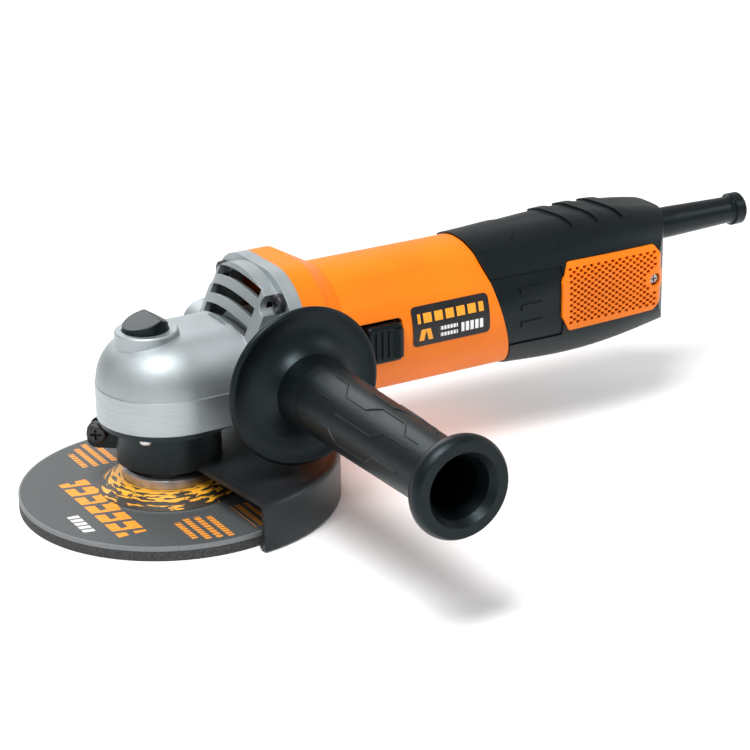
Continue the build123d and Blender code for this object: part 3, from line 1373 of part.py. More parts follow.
vent_pockets = {}
panel_cuts = {}
for side in (-1, 1):
    with BuildPart() as pocket:
        extrude(vent_pocket_plan, amount=-side * 60)
        add(handle_pocket, mode=Mode.SUBTRACT)
    vent_pockets[side] = pocket.part
    with BuildPart() as panel:
        with BuildSketch(Plane.XZ):
            with Locations(((138 + VENT_X0) / 2, (PANEL_Z0 + PANEL_Z1) / 2)):
                Rectangle(VENT_X0 - 138 + 2, PANEL_Z1 - PANEL_Z0)
            for bar in range(3):
                with Locations((159, 68.5 - bar * 7.6)):
                    Rectangle(11.0, 2.4, mode=Mode.SUBTRACT)
        extrude(amount=-side * 60)
        add(handle_panel, mode=Mode.SUBTRACT)
    panel_cuts[side] = panel.part

for side, word in ((-1, "left"), (1, "right")):
    half = handle_half(side)
    half.label = f"rear_handle_{word}"
    export_step(half, f"parts/rear_handle_{word}.step")
    cover = vent_cover(side)
    cover.label = f"vent_cover_{word}"
    export_step(cover, f"parts/vent_cover_{word}.step")

vent_seats = [
    Plane(origin=(VENT_SCREW[0], side * 24.0, VENT_SCREW[1]), x_dir=(1, 0, 0), z_dir=(0, side, 0))
    for side in (-1, 1)
]
handle_screw_set = [pan_screw(seat, 2.7, 2.2, 1.6, 14.0) for seat in vent_seats]
with BuildPart() as rear_handle_screws:
    add(handle_screw_set)
rear_handle_screws.part.label = "rear_handle_screws"
export_step(rear_handle_screws.part, "parts/rear_handle_screws.step")

# ================================================================ cord sleeve and cord clamp
sleeve_axis = Axis((0, 0, SLEEVE_Z), (1, 0, 0))
with BuildPart() as cord_sleeve:
    with BuildSketch(Plane.XZ):
        with BuildLine():
            Polyline(
                (233.0, SLEEVE_Z + CORD_BORE_R),
                (233.0, SLEEVE_Z + 8.0),
                (235.0, SLEEVE_Z + 8.0),
                (235.0, SLEEVE_Z + 6.95),
                (250.0, SLEEVE_Z + 6.95),
                (SLEEVE_X1 - 8.0, SLEEVE_Z + 6.0),
                (SLEEVE_X1 - 6.0, SLEEVE_Z + 6.2),
                (SLEEVE_X1 - 5.2, SLEEVE_Z + 7.3),
                (SLEEVE_X1 - 0.8, SLEEVE_Z + 7.3),
                (SLEEVE_X1, SLEEVE_Z + 6.5),
                (SLEEVE_X1, SLEEVE_Z + CORD_BORE_R),
                close=True,
            )
        make_face()
    revolve(axis=sleeve_axis)
cord_sleeve.part.label = "cord_sleeve"
export_step(cord_sleeve.part, "parts/cord_sleeve.step")

with BuildPart() as cord_clamp:
    with Locations((CLAMP_X, 0, CLAMP_Z)):
        Box(6.0, 22.0, CLAMP_T, align=(Align.CENTER, Align.CENTER, Align.MAX))
        with GridLocations(1, 16.0, 1, 2):
            CounterBoreHole(CLAMP_SCREW_R, 2.6, 0.6, CLAMP_T)
cord_clamp.part.label = "cord_clamp"
export_step(cord_clamp.part, "parts/cord_clamp.step")

clamp_seats = [
    Plane(origin=(CLAMP_X, sy * 8.0, CLAMP_Z - 0.6), x_dir=(1, 0, 0), z_dir=(0, 0, 1)) for sy in (-1, 1)
]
clamp_screw_set = [pan_screw(seat, 2.5, 1.8, CLAMP_SCREW_R, 7.0) for seat in clamp_seats]
with BuildPart() as cord_clamp_screws:
    add(clamp_screw_set)
cord_clamp_screws.part.label = "cord_clamp_screws"
export_step(cord_clamp_screws.part, "parts/cord_clamp_screws.step")

# ================================================================ side handle
handle_axis = Axis((HANDLE_X, 0, HANDLE_Z), (0, -1, 0))
WASHER_T = 1.6
grip_start = HANDLE_BOSS_Y + WASHER_T


def grip_point(reach, radius):
    """Point of the side handle's outline: distance from the spindle plane and radius."""
    return (HANDLE_X + radius, -reach)


with BuildPart() as side_handle_washer:
    with BuildSketch(Plane.XZ.offset(HANDLE_BOSS_Y)):
        with Locations((HANDLE_X, HANDLE_Z)):
            Circle(9.5)
            Circle(5.2, mode=Mode.SUBTRACT)
    extrude(amount=WASHER_T)
side_handle_washer.part.label = "side_handle_washer"
export_step(side_handle_washer.part, "parts/side_handle_washer.step")

STUD_R = 4.2
STUD_END_Y = -24.5
STUD_ROOT_Y = -74.0
with BuildPart() as side_handle_stud:
    with BuildSketch(Plane.XZ.offset(-STUD_END_Y)):
        with Locations((HANDLE_X, HANDLE_Z)):
            Circle(STUD_R)
    extrude(amount=STUD_END_Y - STUD_ROOT_Y)
    chamfer(side_handle_stud.faces().sort_by(Axis.Y)[-1].edges(), 0.8)
    with BuildSketch(Plane.XZ.offset(58)):
        with Locations((HANDLE_X, HANDLE_Z)):
            RegularPolygon(7.0, 6)
    extrude(amount=6.0)
side_handle_stud.part.label = "side_handle_stud"
export_step(side_handle_stud.part, "parts/side_handle_stud.step")

with BuildPart() as side_handle_grip:
    with BuildSketch(Plane(origin=(0, 0, HANDLE_Z), z_dir=(0, 0, 1))):
        with BuildLine():
            Polyline(
                grip_point(grip_start, 0),
                grip_point(grip_start, 10.5),
                grip_point(48.0, 12.0),
                grip_point(49.4, GRIP_FLANGE_R - 1.0),
                grip_point(50.6, GRIP_FLANGE_R),
            )
            ThreePointArc(
                grip_point(50.6, GRIP_FLANGE_R),
                grip_point(52.0, GRIP_FLANGE_R - 0.3),
                grip_point(52.6, GRIP_FLANGE_R - 1.8),
            )
            ThreePointArc(
                grip_point(52.6, GRIP_FLANGE_R - 1.8), grip_point(51.6, 27.0), grip_point(52.4, 22.0)
            )
            ThreePointArc(grip_point(52.4, 22.0), grip_point(54.6, 18.4), grip_point(58.0, 15.6))
            Polyline(grip_point(58.0, 15.6), grip_point(70.0, 14.6), grip_point(158.0, 13.2))
            ThreePointArc(
                grip_point(158.0, 13.2), grip_point(161.0, 14.8), grip_point(163.0, 18.4)
            )
            ThreePointArc(
                grip_point(163.0, 18.4), grip_point(167.0, 20.2), grip_point(-GRIP_END_Y, 18.6)
            )
            Polyline(
                grip_point(-GRIP_END_Y, 18.6),
                grip_point(-GRIP_END_Y, 14.6),
                grip_point(-GRIP_END_Y - 3.0, 12.4),
                grip_point(-GRIP_END_Y - 8.0, 10.6),
                grip_point(80.0, 9.4),
                grip_point(78.0, 0),
                grip_point(grip_start, 0),
            )
        make_face()
    revolve(axis=handle_axis)
    add(side_handle_stud.part, mode=Mode.SUBTRACT)
side_handle_grip.part.label = "side_handle_grip"
export_step(side_handle_grip.part, "parts/side_handle_grip.step")
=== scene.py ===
"""Looks of a small corded angle grinder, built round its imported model."""

from __future__ import annotations

import json
import logging
import math
from dataclasses import dataclass, field
from enum import Enum
from typing import Any

import bmesh
import bpy
from mathutils import Matrix, Vector

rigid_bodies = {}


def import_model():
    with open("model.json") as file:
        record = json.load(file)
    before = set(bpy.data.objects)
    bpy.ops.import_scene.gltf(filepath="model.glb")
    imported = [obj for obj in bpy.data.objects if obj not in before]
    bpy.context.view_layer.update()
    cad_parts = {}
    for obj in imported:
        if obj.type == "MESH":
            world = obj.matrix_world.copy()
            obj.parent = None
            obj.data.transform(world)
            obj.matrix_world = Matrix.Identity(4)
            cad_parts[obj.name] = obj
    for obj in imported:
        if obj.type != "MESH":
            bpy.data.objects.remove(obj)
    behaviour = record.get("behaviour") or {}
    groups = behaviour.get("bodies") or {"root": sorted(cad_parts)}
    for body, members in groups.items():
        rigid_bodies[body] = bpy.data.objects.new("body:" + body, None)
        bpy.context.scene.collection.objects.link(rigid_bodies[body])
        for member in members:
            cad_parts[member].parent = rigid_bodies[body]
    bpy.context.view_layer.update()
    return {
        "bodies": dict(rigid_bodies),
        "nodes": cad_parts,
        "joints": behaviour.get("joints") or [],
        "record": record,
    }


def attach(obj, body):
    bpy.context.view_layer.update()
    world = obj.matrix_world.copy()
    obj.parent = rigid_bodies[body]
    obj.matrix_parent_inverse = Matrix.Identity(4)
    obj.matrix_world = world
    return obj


LOG = logging.getLogger("grinder")
Colour = tuple[float, float, float]
MM = 0.001
# Painted cool reflection: this bluish specular tint gives black surfaces the cool cast of the
# surrounding light, while the lamps and sky stay white.
COOL_REFLECTION_TINT: Colour = (0.72, 0.93, 1.0)


class Wire:
    """A node socket that takes part in Python arithmetic."""

    def __init__(self, graph: "Graph", socket: Any) -> None:
        """Wraps a socket.

        Args:
            graph: The graph that it belongs to.
            socket: The socket.
        """
        self.graph = graph
        self.socket = socket

    def calc(self, operation: str, *others: Any, swap: bool = False) -> "Wire":
        """Adds one Math node.

        Args:
            operation: The Math node's operation.
            others: The further values or wires.
            swap: Whether this wire is the second value.

        Returns:
            The wire that leaves the new node.
        """
        values = [self, *others]
        if swap:
            values = [others[0], self]
        return self.graph.node(
            "ShaderNodeMath", {"operation": operation}, dict(enumerate(values))
        )

    def __add__(self, other: Any) -> "Wire":
        """Sum."""
        return self.calc("ADD", other)

    __radd__ = __add__

    def __mul__(self, other: Any) -> "Wire":
        """Product."""
        return self.calc("MULTIPLY", other)

    __rmul__ = __mul__

    def __sub__(self, other: Any) -> "Wire":
        """Difference."""
        return self.calc("SUBTRACT", other)

    def __rsub__(self, other: Any) -> "Wire":
        """Difference from a number on the left."""
        return self.calc("SUBTRACT", other, swap=True)

    def __truediv__(self, other: Any) -> "Wire":
        """Quotient."""
        return self.calc("DIVIDE", other)

    def __gt__(self, other: Any) -> "Wire":
        """1 where this is greater."""
        return self.calc("GREATER_THAN", other)

    def __lt__(self, other: Any) -> "Wire":
        """1 where this is less."""
        return self.calc("LESS_THAN", other)

    def size(self) -> "Wire":
        """Absolute value."""
        return self.calc("ABSOLUTE")

    def between(self, low: float, high: float) -> "Wire":
        """Marks a band of values.

        Args:
            low: Lower edge of the band.
            high: Upper edge of the band.

        Returns:
            1 inside the band, else 0.
        """
        return (self > low) * (self < high)

    def fade(self, low: float, high: float) -> "Wire":
        """Turns the value into a smooth step.

        Args:
            low: Value that gives 0.
            high: Value that gives 1.

        Returns:
            The step.
        """
        return self.graph.node(
            "ShaderNodeMapRange",
            {"interpolation_type": "SMOOTHSTEP"},
            {"Value": self, "From Min": low, "From Max": high},
        )


class Graph:
    """The node tree of one material, with its shader and its coordinates."""

    def __init__(self, name: str) -> None:
        """Starts an empty tree that holds one Principled shader.

        Args:
            name: Name of the material.
        """
        self.material = bpy.data.materials.new(name)
        self.material.use_nodes = True
        self.tree = self.material.node_tree
        self.tree.nodes.clear()
        self.shader = self.tree.nodes.new("ShaderNodeBsdfPrincipled")
        output = self.tree.nodes.new("ShaderNodeOutputMaterial")
        self.tree.links.new(self.shader.outputs[0], output.inputs[0])
        self.place = self.node("ShaderNodeTexCoord", {}, {}, "Object")

    def join(self, socket: Any, value: Any) -> None:
        """Links a wire to a socket, or sets the socket to a number or colour.

        Args:
            socket: The input socket.
            value: A wire, number or colour.
        """
        if isinstance(value, Wire):
            self.tree.links.new(value.socket, socket)
        elif isinstance(value, tuple) and len(socket.default_value) == 4 and len(value) == 3:
            socket.default_value = (*value, 1.0)
        else:
            socket.default_value = value

    def node(
        self, kind: str, settings: dict[str, Any], sockets: dict[Any, Any], output: Any = 0
    ) -> Wire:
        """Adds any node.

        Args:
            kind: The node's type.
            settings: Its properties, or under "stops" the stops of its ramp.
            sockets: Values or wires for its inputs, by name or number.
            output: Name or number of the output that is used.

        Returns:
            The wire that leaves the output.
        """
        made = self.tree.nodes.new(kind)
        for key, value in settings.items():
            if key == "stops":
                ramp = made.color_ramp.elements
                while len(ramp) < len(value):
                    ramp.new(0.5)
                for stop, (position, colour) in zip(ramp, value):
                    stop.position = position
                    stop.color = (*colour, 1.0)
            else:
                setattr(made, key, value)
        for key, value in sockets.items():
            self.join(made.inputs[key], value)
        return Wire(self, made.outputs[output])

    def axes(self) -> tuple[Wire, Wire, Wire]:
        """Splits the place on the part.

        Returns:
            The place along X, Y and Z, in metres.
        """
        parts = [self.node("ShaderNodeSeparateXYZ", {}, {0: self.place}, axis) for axis in "XYZ"]
        return parts[0], parts[1], parts[2]

    def noise(self, scale: float, detail: float = 3.0, stretch: Colour = (1.0, 1.0, 1.0)) -> Wire:
        """Cloudy noise.

        Args:
            scale: Features in a metre.
            detail: Number of finer layers.
            stretch: Factors on the three axes.

        Returns:
            A value round 0.5.
        """
        at = self.place
        if stretch != (1.0, 1.0, 1.0):
            at = self.node("ShaderNodeVectorMath", {"operation": "MULTIPLY"}, {0: at, 1: stretch})
        return self.node(
            "ShaderNodeTexNoise", {}, {"Vector": at, "Scale": scale, "Detail": detail}, 0
        )

    def cells(self, scale: float) -> Wire:
        """Scattered cells.

        Args:
            scale: Cells in a metre.

        Returns:
            The distance to the nearest cell's point.
        """
        return self.node("ShaderNodeTexVoronoi", {}, {"Vector": self.place, "Scale": scale}, 0)

    def mix(self, mask: Any, below: Any, above: Any) -> Wire:
        """Mixes two colours.

        Args:
            mask: Share of the upper colour.
            below: Colour where the mask is 0.
            above: Colour where the mask is 1.

        Returns:
            The mixed colour.
        """
        made = self.tree.nodes.new("ShaderNodeMix")
        made.data_type = "RGBA"
        for socket, value in ((0, mask), (6, below), (7, above)):
            self.join(made.inputs[socket], value)
        return Wire(self, made.outputs[2])

    def ramp(self, value: Wire, *stops: tuple[float, Colour]) -> Wire:
        """Turns a value into a colour.

        Args:
            value: The value, from 0 to 1.
            stops: Places on the ramp with their colours.

        Returns:
            The colour.
        """
        return self.node("ShaderNodeValToRGB", {"stops": stops}, {0: value})

    def dress(
        self, colour: Any, roughness: Any, height: Wire | None, depth: float, edge: float = 0.3
    ) -> None:
        """Feeds the shader.

        Args:
            colour: Base colour.
            roughness: Roughness.
            height: Relief of the surface, from 0 to 1.
            depth: Depth of the relief in millimetres.
            edge: Radius of the softened edges in millimetres.
        """
        self.join(self.shader.inputs["Base Color"], colour)
        self.join(self.shader.inputs["Roughness"], roughness)
        soft = self.node("ShaderNodeBevel", {"samples": 4}, {"Radius": edge * MM})
        if height is not None:
            soft = self.node(
                "ShaderNodeBump",
                {},
                {"Strength": 1.0, "Distance": depth * MM, "Height": height, "Normal": soft},
            )
        self.join(self.shader.inputs["Normal"], soft)

    def fix(self, **values: Any) -> None:
        """Sets plain sockets of the shader.

        Args:
            values: Socket names, with underscores for spaces, and their values.
        """
        for key, value in values.items():
            self.join(self.shader.inputs[key.replace("_", " ")], value)


class Texture(Enum):
    """Relief of a moulded surface, as features in a metre and depth in millimetres."""

    SATIN = (2600.0, 0.012)
    GRAINED = (1700.0, 0.035)
    PLAIN = (900.0, 0.006)


@dataclass(frozen=True)
class MouldedPlastic:
    """Injection-moulded plastic with a fine surface texture, handling marks and a little dust."""

    colour: Colour
    rough: float = 0.4
    texture: Texture = Texture.SATIN
    coat: float = 0.0
    gloss: float = 0.4
    sheen: Colour = (1.0, 1.0, 1.0)

    def make(self, name: str) -> bpy.types.Material:
        """Builds the material.

        Args:
            name: Name of the material.

        Returns:
            The material.
        """
        g = Graph(name)
        cloud = g.noise(28.0, 4.0)
        marks = g.noise(240.0, 6.0, (1.0, 0.35, 1.0)).fade(0.60, 0.72)
        dark = tuple(c * 0.86 for c in self.colour)
        worn = tuple(min(1.0, c * 1.08 + 0.004) for c in self.colour)
        base = g.mix(cloud.fade(0.3, 0.7), dark, self.colour)
        base = g.mix(marks * 0.35, base, worn)
        grain = g.noise(self.texture.value[0], 2.0) + g.cells(self.texture.value[0] * 0.7) * 0.5
        g.dress(base, self.rough + cloud * 0.08 + marks * 0.06, grain, self.texture.value[1])
        g.fix(Coat_Weight=self.coat, Coat_Roughness=0.12)
        # A cool sheen colour is a painted cool reflection: it stands in for a bluish cast of the
        # light.
        g.fix(Specular_IOR_Level=self.gloss, Specular_Tint=self.sheen)
        return g.material


@dataclass(frozen=True)
class CastAluminium:
    """Blasted die-cast aluminium whose low belt is brushed along its length."""

    colour: Colour = (0.405, 0.447, 0.461)
    belt_top: float = 51.4 * MM

    def make(self, name: str) -> bpy.types.Material:
        """Builds the material.

        Args:
            name: Name of the material.

        Returns:
            The material.
        """
        g = Graph(name)
        z = g.axes()[2]
        belt = z < self.belt_top
        cloud = g.noise(45.0, 5.0)
        grit = g.noise(3200.0, 2.0)
        lines = g.noise(90.0, 3.0, (1.0, 1.0, 38.0))
        dull = tuple(c * 0.80 for c in self.colour)
        base = g.mix(cloud.fade(0.25, 0.75), dull, self.colour)
        base = g.mix(grit.fade(0.55, 0.75) * 0.30, base, (0.58, 0.63, 0.65))
        base = g.mix(belt * lines.fade(0.35, 0.65) * 0.4, base, (0.50, 0.55, 0.57))
        rough = 0.47 - belt * 0.11 + cloud * 0.10
        g.dress(base, rough, (1 - belt) * grit + belt * lines * 0.4, 0.055, 0.5)
        g.fix(Metallic=0.88)
        return g.material


@dataclass(frozen=True)
class WorkedSteel:
    """Turned, ground or blackened metal with fine tool marks and a few stains."""

    colour: Colour
    rough: float = 0.3
    metallic: float = 1.0
    marks: Colour = (1.0, 1.0, 14.0)

    def make(self, name: str) -> bpy.types.Material:
        """Builds the material.

        Args:
            name: Name of the material.

        Returns:
            The material.
        """
        g = Graph(name)
        cloud = g.noise(160.0, 4.0)
        lines = g.noise(420.0, 2.0, self.marks)
        stained = tuple(c * 0.66 for c in self.colour)
        base = g.mix(cloud.fade(0.35, 0.7), self.colour, stained)
        g.dress(base, self.rough + lines * 0.12 + cloud * 0.06, lines, 0.012, 0.2)
        g.fix(Metallic=self.metallic)
        return g.material


@dataclass(frozen=True)
class PaintedSteel:
    """Satin black paint on sheet steel, with a soft orange-peel and rubbed spots."""

    colour: Colour = (0.005, 0.0062, 0.0072)

    def make(self, name: str) -> bpy.types.Material:
        """Builds the material.

        Args:
            name: Name of the material.

        Returns:
            The material.
        """
        g = Graph(name)
        peel = g.noise(520.0, 2.0)
        cloud = g.noise(38.0, 4.0)
        rubbed = g.noise(310.0, 6.0, (1.0, 1.0, 3.0)).fade(0.66, 0.78)
        base = g.mix(cloud.fade(0.3, 0.7), self.colour, (0.015, 0.016, 0.018))
        base = g.mix(rubbed * 0.5, base, (0.085, 0.085, 0.09))
        g.dress(base, 0.30 + cloud * 0.12 + rubbed * 0.1, peel, 0.02, 0.25)
        # The cool specular tint is a painted cool reflection.
        g.fix(Specular_IOR_Level=0.36, Specular_Tint=COOL_REFLECTION_TINT)
        return g.material


@dataclass(frozen=True)
class Abrasive:
    """Resin-bonded grit with a printed pattern of plain blocks on its upper face.

    Each of the small rows gives its lowest place across, its two ends and its pitch, all in
    millimetres from the spindle.
    """

    print_colour: Colour = (0.95, 0.33, 0.02)
    top: float = 3.2 * MM
    rim: float = 61.75 * MM
    row_height: float = 2.6
    rows: tuple[tuple[float, float, float, float], ...] = (
        (-24.5, 34.0, 50.0, 2.6),
        (-20.0, 33.0, 54.0, 2.2),
        (-15.5, 33.0, 57.0, 2.5),
        (-11.0, 34.0, 58.0, 2.3),
        (-16.5, -54.0, -37.0, 2.4),
        (-12.0, -57.0, -35.0, 2.2),
        (-7.5, -58.0, -36.0, 2.7),
        (-3.0, -59.0, -38.0, 2.3),
    )

    def make(self, name: str) -> bpy.types.Material:
        """Builds the material.

        Args:
            name: Name of the material.

        Returns:
            The material.
        """
        g = Graph(name)
        x, y, z = g.axes()
        reach = (x * x + y * y).calc("SQRT")
        upper = z > self.top
        grit = g.cells(1500.0)
        fine = g.noise(1900.0, 5.0)
        weave = (x * 2100.0).calc("SINE") * (y * 2100.0).calc("SINE")
        base = g.ramp(
            grit,
            (0.0, (0.075, 0.078, 0.08)),
            (0.5, (0.03, 0.031, 0.033)),
            (1.0, (0.012, 0.012, 0.013)),
        )
        base = g.mix(upper * 0.6, base, (0.105, 0.117, 0.120))
        base = g.mix(upper * weave.fade(-1.0, 1.0) * 0.30, base, (0.028, 0.029, 0.03))
        worn = fine.fade(0.30, 0.42)
        u, v = x / MM, y / MM
        big = self.bars(u, v, (-40.5, -28.5), (-37.5, 22.5), 10.0, 0.78)
        split = u.between(-36.2, -33.4) * ((v * 0.1).calc("FRACT") < 0.62)
        big = big * (1 - split)
        lines = (u * 0.25).calc("FRACT") < 0.6
        small = self.bars(u, v, (10.0, 18.0), (-57.0, -34.0), 2.1, 0.7) * lines
        for low, start, end, pitch in self.rows:
            height = (low, low + self.row_height)
            small = small + self.bars(u, v, height, (start, end), pitch, 0.74)
        pale = self.bars(u, v, (-50.5, -45.8), (-27.0, -9.0), 3.7, 0.72)
        base = g.mix((big + small).calc("MINIMUM", 1.0) * upper * worn, base, self.print_colour)
        base = g.mix(pale * upper * worn, base, (0.72, 0.72, 0.70))
        ring = upper * (reach > self.rim)
        base = g.mix(ring * worn * 0.5, base, (0.30, 0.31, 0.32))
        g.dress(base, 0.72 - upper * 0.10, grit * (1.0 - upper * 0.7) + fine * 0.4, 0.16, 0.2)
        return g.material

    def bars(
        self, u: Wire, v: Wire, height: tuple[float, float], length: tuple[float, float],
        pitch: float, share: float,
    ) -> Wire:
        """A straight row of plain slanted blocks.

        Args:
            u: Place across the row, in millimetres.
            v: Place along the row, in millimetres.
            height: Lowest and highest place across the row.
            length: First and last place along the row.
            pitch: Distance from block to block.
            share: Part of the pitch that a block fills.

        Returns:
            1 on the blocks.
        """
        step = ((v + u * 0.22) * (1 / pitch)).calc("FRACT") < share
        return u.between(*height) * v.between(*length) * step


@dataclass(frozen=True)
class PrintedPaper:
    """Bright printed paper with dark brush strokes that run outwards, and a few thin dark lines that
    run out from the middle.
    """

    colour: Colour = (0.95, 0.42, 0.02)

    def make(self, name: str) -> bpy.types.Material:
        """Builds the material.

        Args:
            name: Name of the material.

        Returns:
            The material.
        """
        g = Graph(name)
        x, y, _ = g.axes()
        reach = (x * x + y * y).calc("SQRT")
        turn = y.calc("ARCTAN2", x)
        swept = turn * 2.0 + reach * 60.0
        polar = g.node("ShaderNodeCombineXYZ", {}, {0: swept, 1: reach * 520.0})
        streak = g.node("ShaderNodeTexNoise", {}, {"Vector": polar, "Scale": 1.6, "Detail": 5.0})
        glow = streak.fade(0.35, 0.6)
        base = g.mix(glow, self.colour, (1.0, 0.50, 0.04))
        outward = reach.fade(17.0 * MM, 30.5 * MM)
        base = g.mix((streak + outward * 0.22).fade(0.61, 0.65), base, (0.035, 0.028, 0.02))
        seam = (turn * (3.5 / math.pi)).calc("FRACT") < 0.012
        base = g.mix(seam * 0.9, base, (0.04, 0.02, 0.01))
        g.dress(base, 0.36 + streak * 0.1, g.noise(2500.0), 0.008, 0.1)
        return g.material


@dataclass(frozen=True)
class PrintedPlate:
    """Glossy black film printed with plain light and orange bars in two rows."""

    left: float = 99.5
    low: float = 54.0

    def make(self, name: str) -> bpy.types.Material:
        """Builds the material.

        Args:
            name: Name of the material.

        Returns:
            The material.
        """
        g = Graph(name)
        x, _, z = g.axes()
        u = x * 1000 - self.left
        v = z * 1000 - self.low
        slanted = u - v * 0.25
        word = (u * (1 / 5.4)).calc("FRACT").between(0.0, 0.74)
        row = u.between(2.6, 34.8) * v.between(9.8, 13.8) * word
        small = u.between(13.0, 21.6) * (v.between(2.6, 4.2) + v.between(5.4, 7.0))
        small = small * ((u * (1 / 1.5)).calc("FRACT") < 0.72)
        number = u.between(23.4, 34.8) * v.between(2.8, 6.8) * ((u * (1 / 2.32)).calc("FRACT") < 0.7)
        chevron = slanted.between(2.2, 4.6) + (u + v * 0.25).between(8.0, 10.2)
        chevron = chevron.calc("MINIMUM", 1.0) * v.between(2.4, 7.2)
        white = (small + number).calc("MINIMUM", 1.0)
        base = g.mix(g.noise(60.0).fade(0.3, 0.7), (0.011, 0.011, 0.012), (0.018, 0.018, 0.02))
        base = g.mix(white, base, (0.80, 0.80, 0.80))
        base = g.mix((row + chevron).calc("MINIMUM", 1.0), base, (0.93, 0.36, 0.03))
        g.dress(base, 0.22 + g.noise(90.0) * 0.08, g.noise(700.0), 0.004, 0.15)
        g.fix(Specular_IOR_Level=0.3)
        return g.material


@dataclass(frozen=True)
class Wound:
    """Windings and stacked sheets: fine ridges across one axis."""

    colour: Colour
    metallic: float
    pitch: float = 0.6
    axis: int = 0

    def make(self, name: str) -> bpy.types.Material:
        """Builds the material.

        Args:
            name: Name of the material.

        Returns:
            The material.
        """
        g = Graph(name)
        along = g.axes()[self.axis]
        ridges = (along * (2 * math.pi / (self.pitch * MM))).calc("SINE") * 0.5 + 0.5
        cloud = g.noise(300.0, 4.0)
        dark = tuple(c * 0.45 for c in self.colour)
        base = g.mix(ridges * 0.6 + cloud * 0.4, dark, self.colour)
        g.dress(base, 0.34 + cloud * 0.2, ridges, 0.12, 0.1)
        g.fix(Metallic=self.metallic)
        return g.material


@dataclass(frozen=True)
class Fibre:
    """Felt and sintered or pressed stock, open and speckled."""

    colour: Colour
    metallic: float = 0.0

    def make(self, name: str) -> bpy.types.Material:
        """Builds the material.

        Args:
            name: Name of the material.

        Returns:
            The material.
        """
        g = Graph(name)
        pores = g.cells(2200.0)
        dark = tuple(c * 0.55 for c in self.colour)
        base = g.mix(pores.fade(0.1, 0.6), dark, self.colour)
        g.dress(base, 0.62 + pores * 0.2, g.noise(2600.0, 5.0), 0.08, 0.1)
        g.fix(Metallic=self.metallic)
        return g.material


ORANGE: Colour = (0.94, 0.208, 0.002)
FINISHES: dict[str, Any] = {
    "cast_aluminium": CastAluminium(),
    "orange_plastic": MouldedPlastic(ORANGE, 0.38, Texture.SATIN, 0.05, 0.26),
    "black_plastic": MouldedPlastic((0.0020, 0.0034, 0.0042), 0.34, Texture.GRAINED, 0.0, 0.27, COOL_REFLECTION_TINT),
    "black_nylon": MouldedPlastic((0.024, 0.024, 0.025), 0.5, Texture.PLAIN),
    "black_steel": PaintedSteel(),
    "bright_steel": WorkedSteel((0.58, 0.58, 0.59), 0.26),
    "dark_steel": WorkedSteel((0.055, 0.056, 0.06), 0.36, 0.8),
    "gear_steel": WorkedSteel((0.36, 0.36, 0.37), 0.32, 1.0, (8.0, 8.0, 1.0)),
    "bearing_steel": WorkedSteel((0.70, 0.70, 0.72), 0.14),
    "sintered_bronze": Fibre((0.55, 0.34, 0.14), 0.9),
    "felt": Fibre((0.40, 0.37, 0.31)),
    "abrasive": Abrasive(),
    "paper_label": PrintedPaper(),
    "plate_black": PrintedPlate(),
    "laminated_steel": Wound((0.26, 0.26, 0.27), 0.8, 0.5),
    "copper_wire": Wound((0.62, 0.20, 0.06), 0.7, 0.8),
    "copper": WorkedSteel((0.75, 0.35, 0.16), 0.22),
    "carbon": Fibre((0.05, 0.05, 0.055)),
    "brass": WorkedSteel((0.70, 0.50, 0.18), 0.3),
    "rubber_black": MouldedPlastic((0.0025, 0.0036, 0.0044), 0.26, Texture.PLAIN, 0.0, 0.3, COOL_REFLECTION_TINT),
    "switch_plastic": MouldedPlastic((0.002, 0.003, 0.0036), 0.32, Texture.PLAIN, 0.0, 0.22, COOL_REFLECTION_TINT),
    "white_plastic": MouldedPlastic((0.72, 0.71, 0.68), 0.4, Texture.PLAIN),
    "spring_steel": WorkedSteel((0.5, 0.5, 0.52), 0.2),
}


@dataclass
class Palette:
    """All finishes, each made once under the name of its material slot."""

    made: dict[str, bpy.types.Material] = field(default_factory=dict)

    def get(self, slot: str) -> bpy.types.Material:
        """Finds the material of a slot, and makes it the first time.

        Args:
            slot: Name of the material slot.

        Returns:
            The material.
        """
        if slot not in self.made:
            self.made[slot] = FINISHES[slot].make(slot)
        return self.made[slot]


@dataclass
class SubAssembly:
    """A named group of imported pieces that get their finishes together."""

    title: str
    nodes: tuple[str, ...]

    def dress(self, frame: dict[str, Any], palette: Palette) -> None:
        """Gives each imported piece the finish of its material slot.

        Args:
            frame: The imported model.
            palette: The finishes.
        """
        slots = {s["node"]: s["material_slot"] for s in frame["record"]["subparts"]}
        for node in self.nodes:
            mesh = frame["nodes"][node].data
            mesh.materials.clear()
            mesh.materials.append(palette.get(slots[node]))
            LOG.info("%s: %s in %s", self.title, node, slots[node])


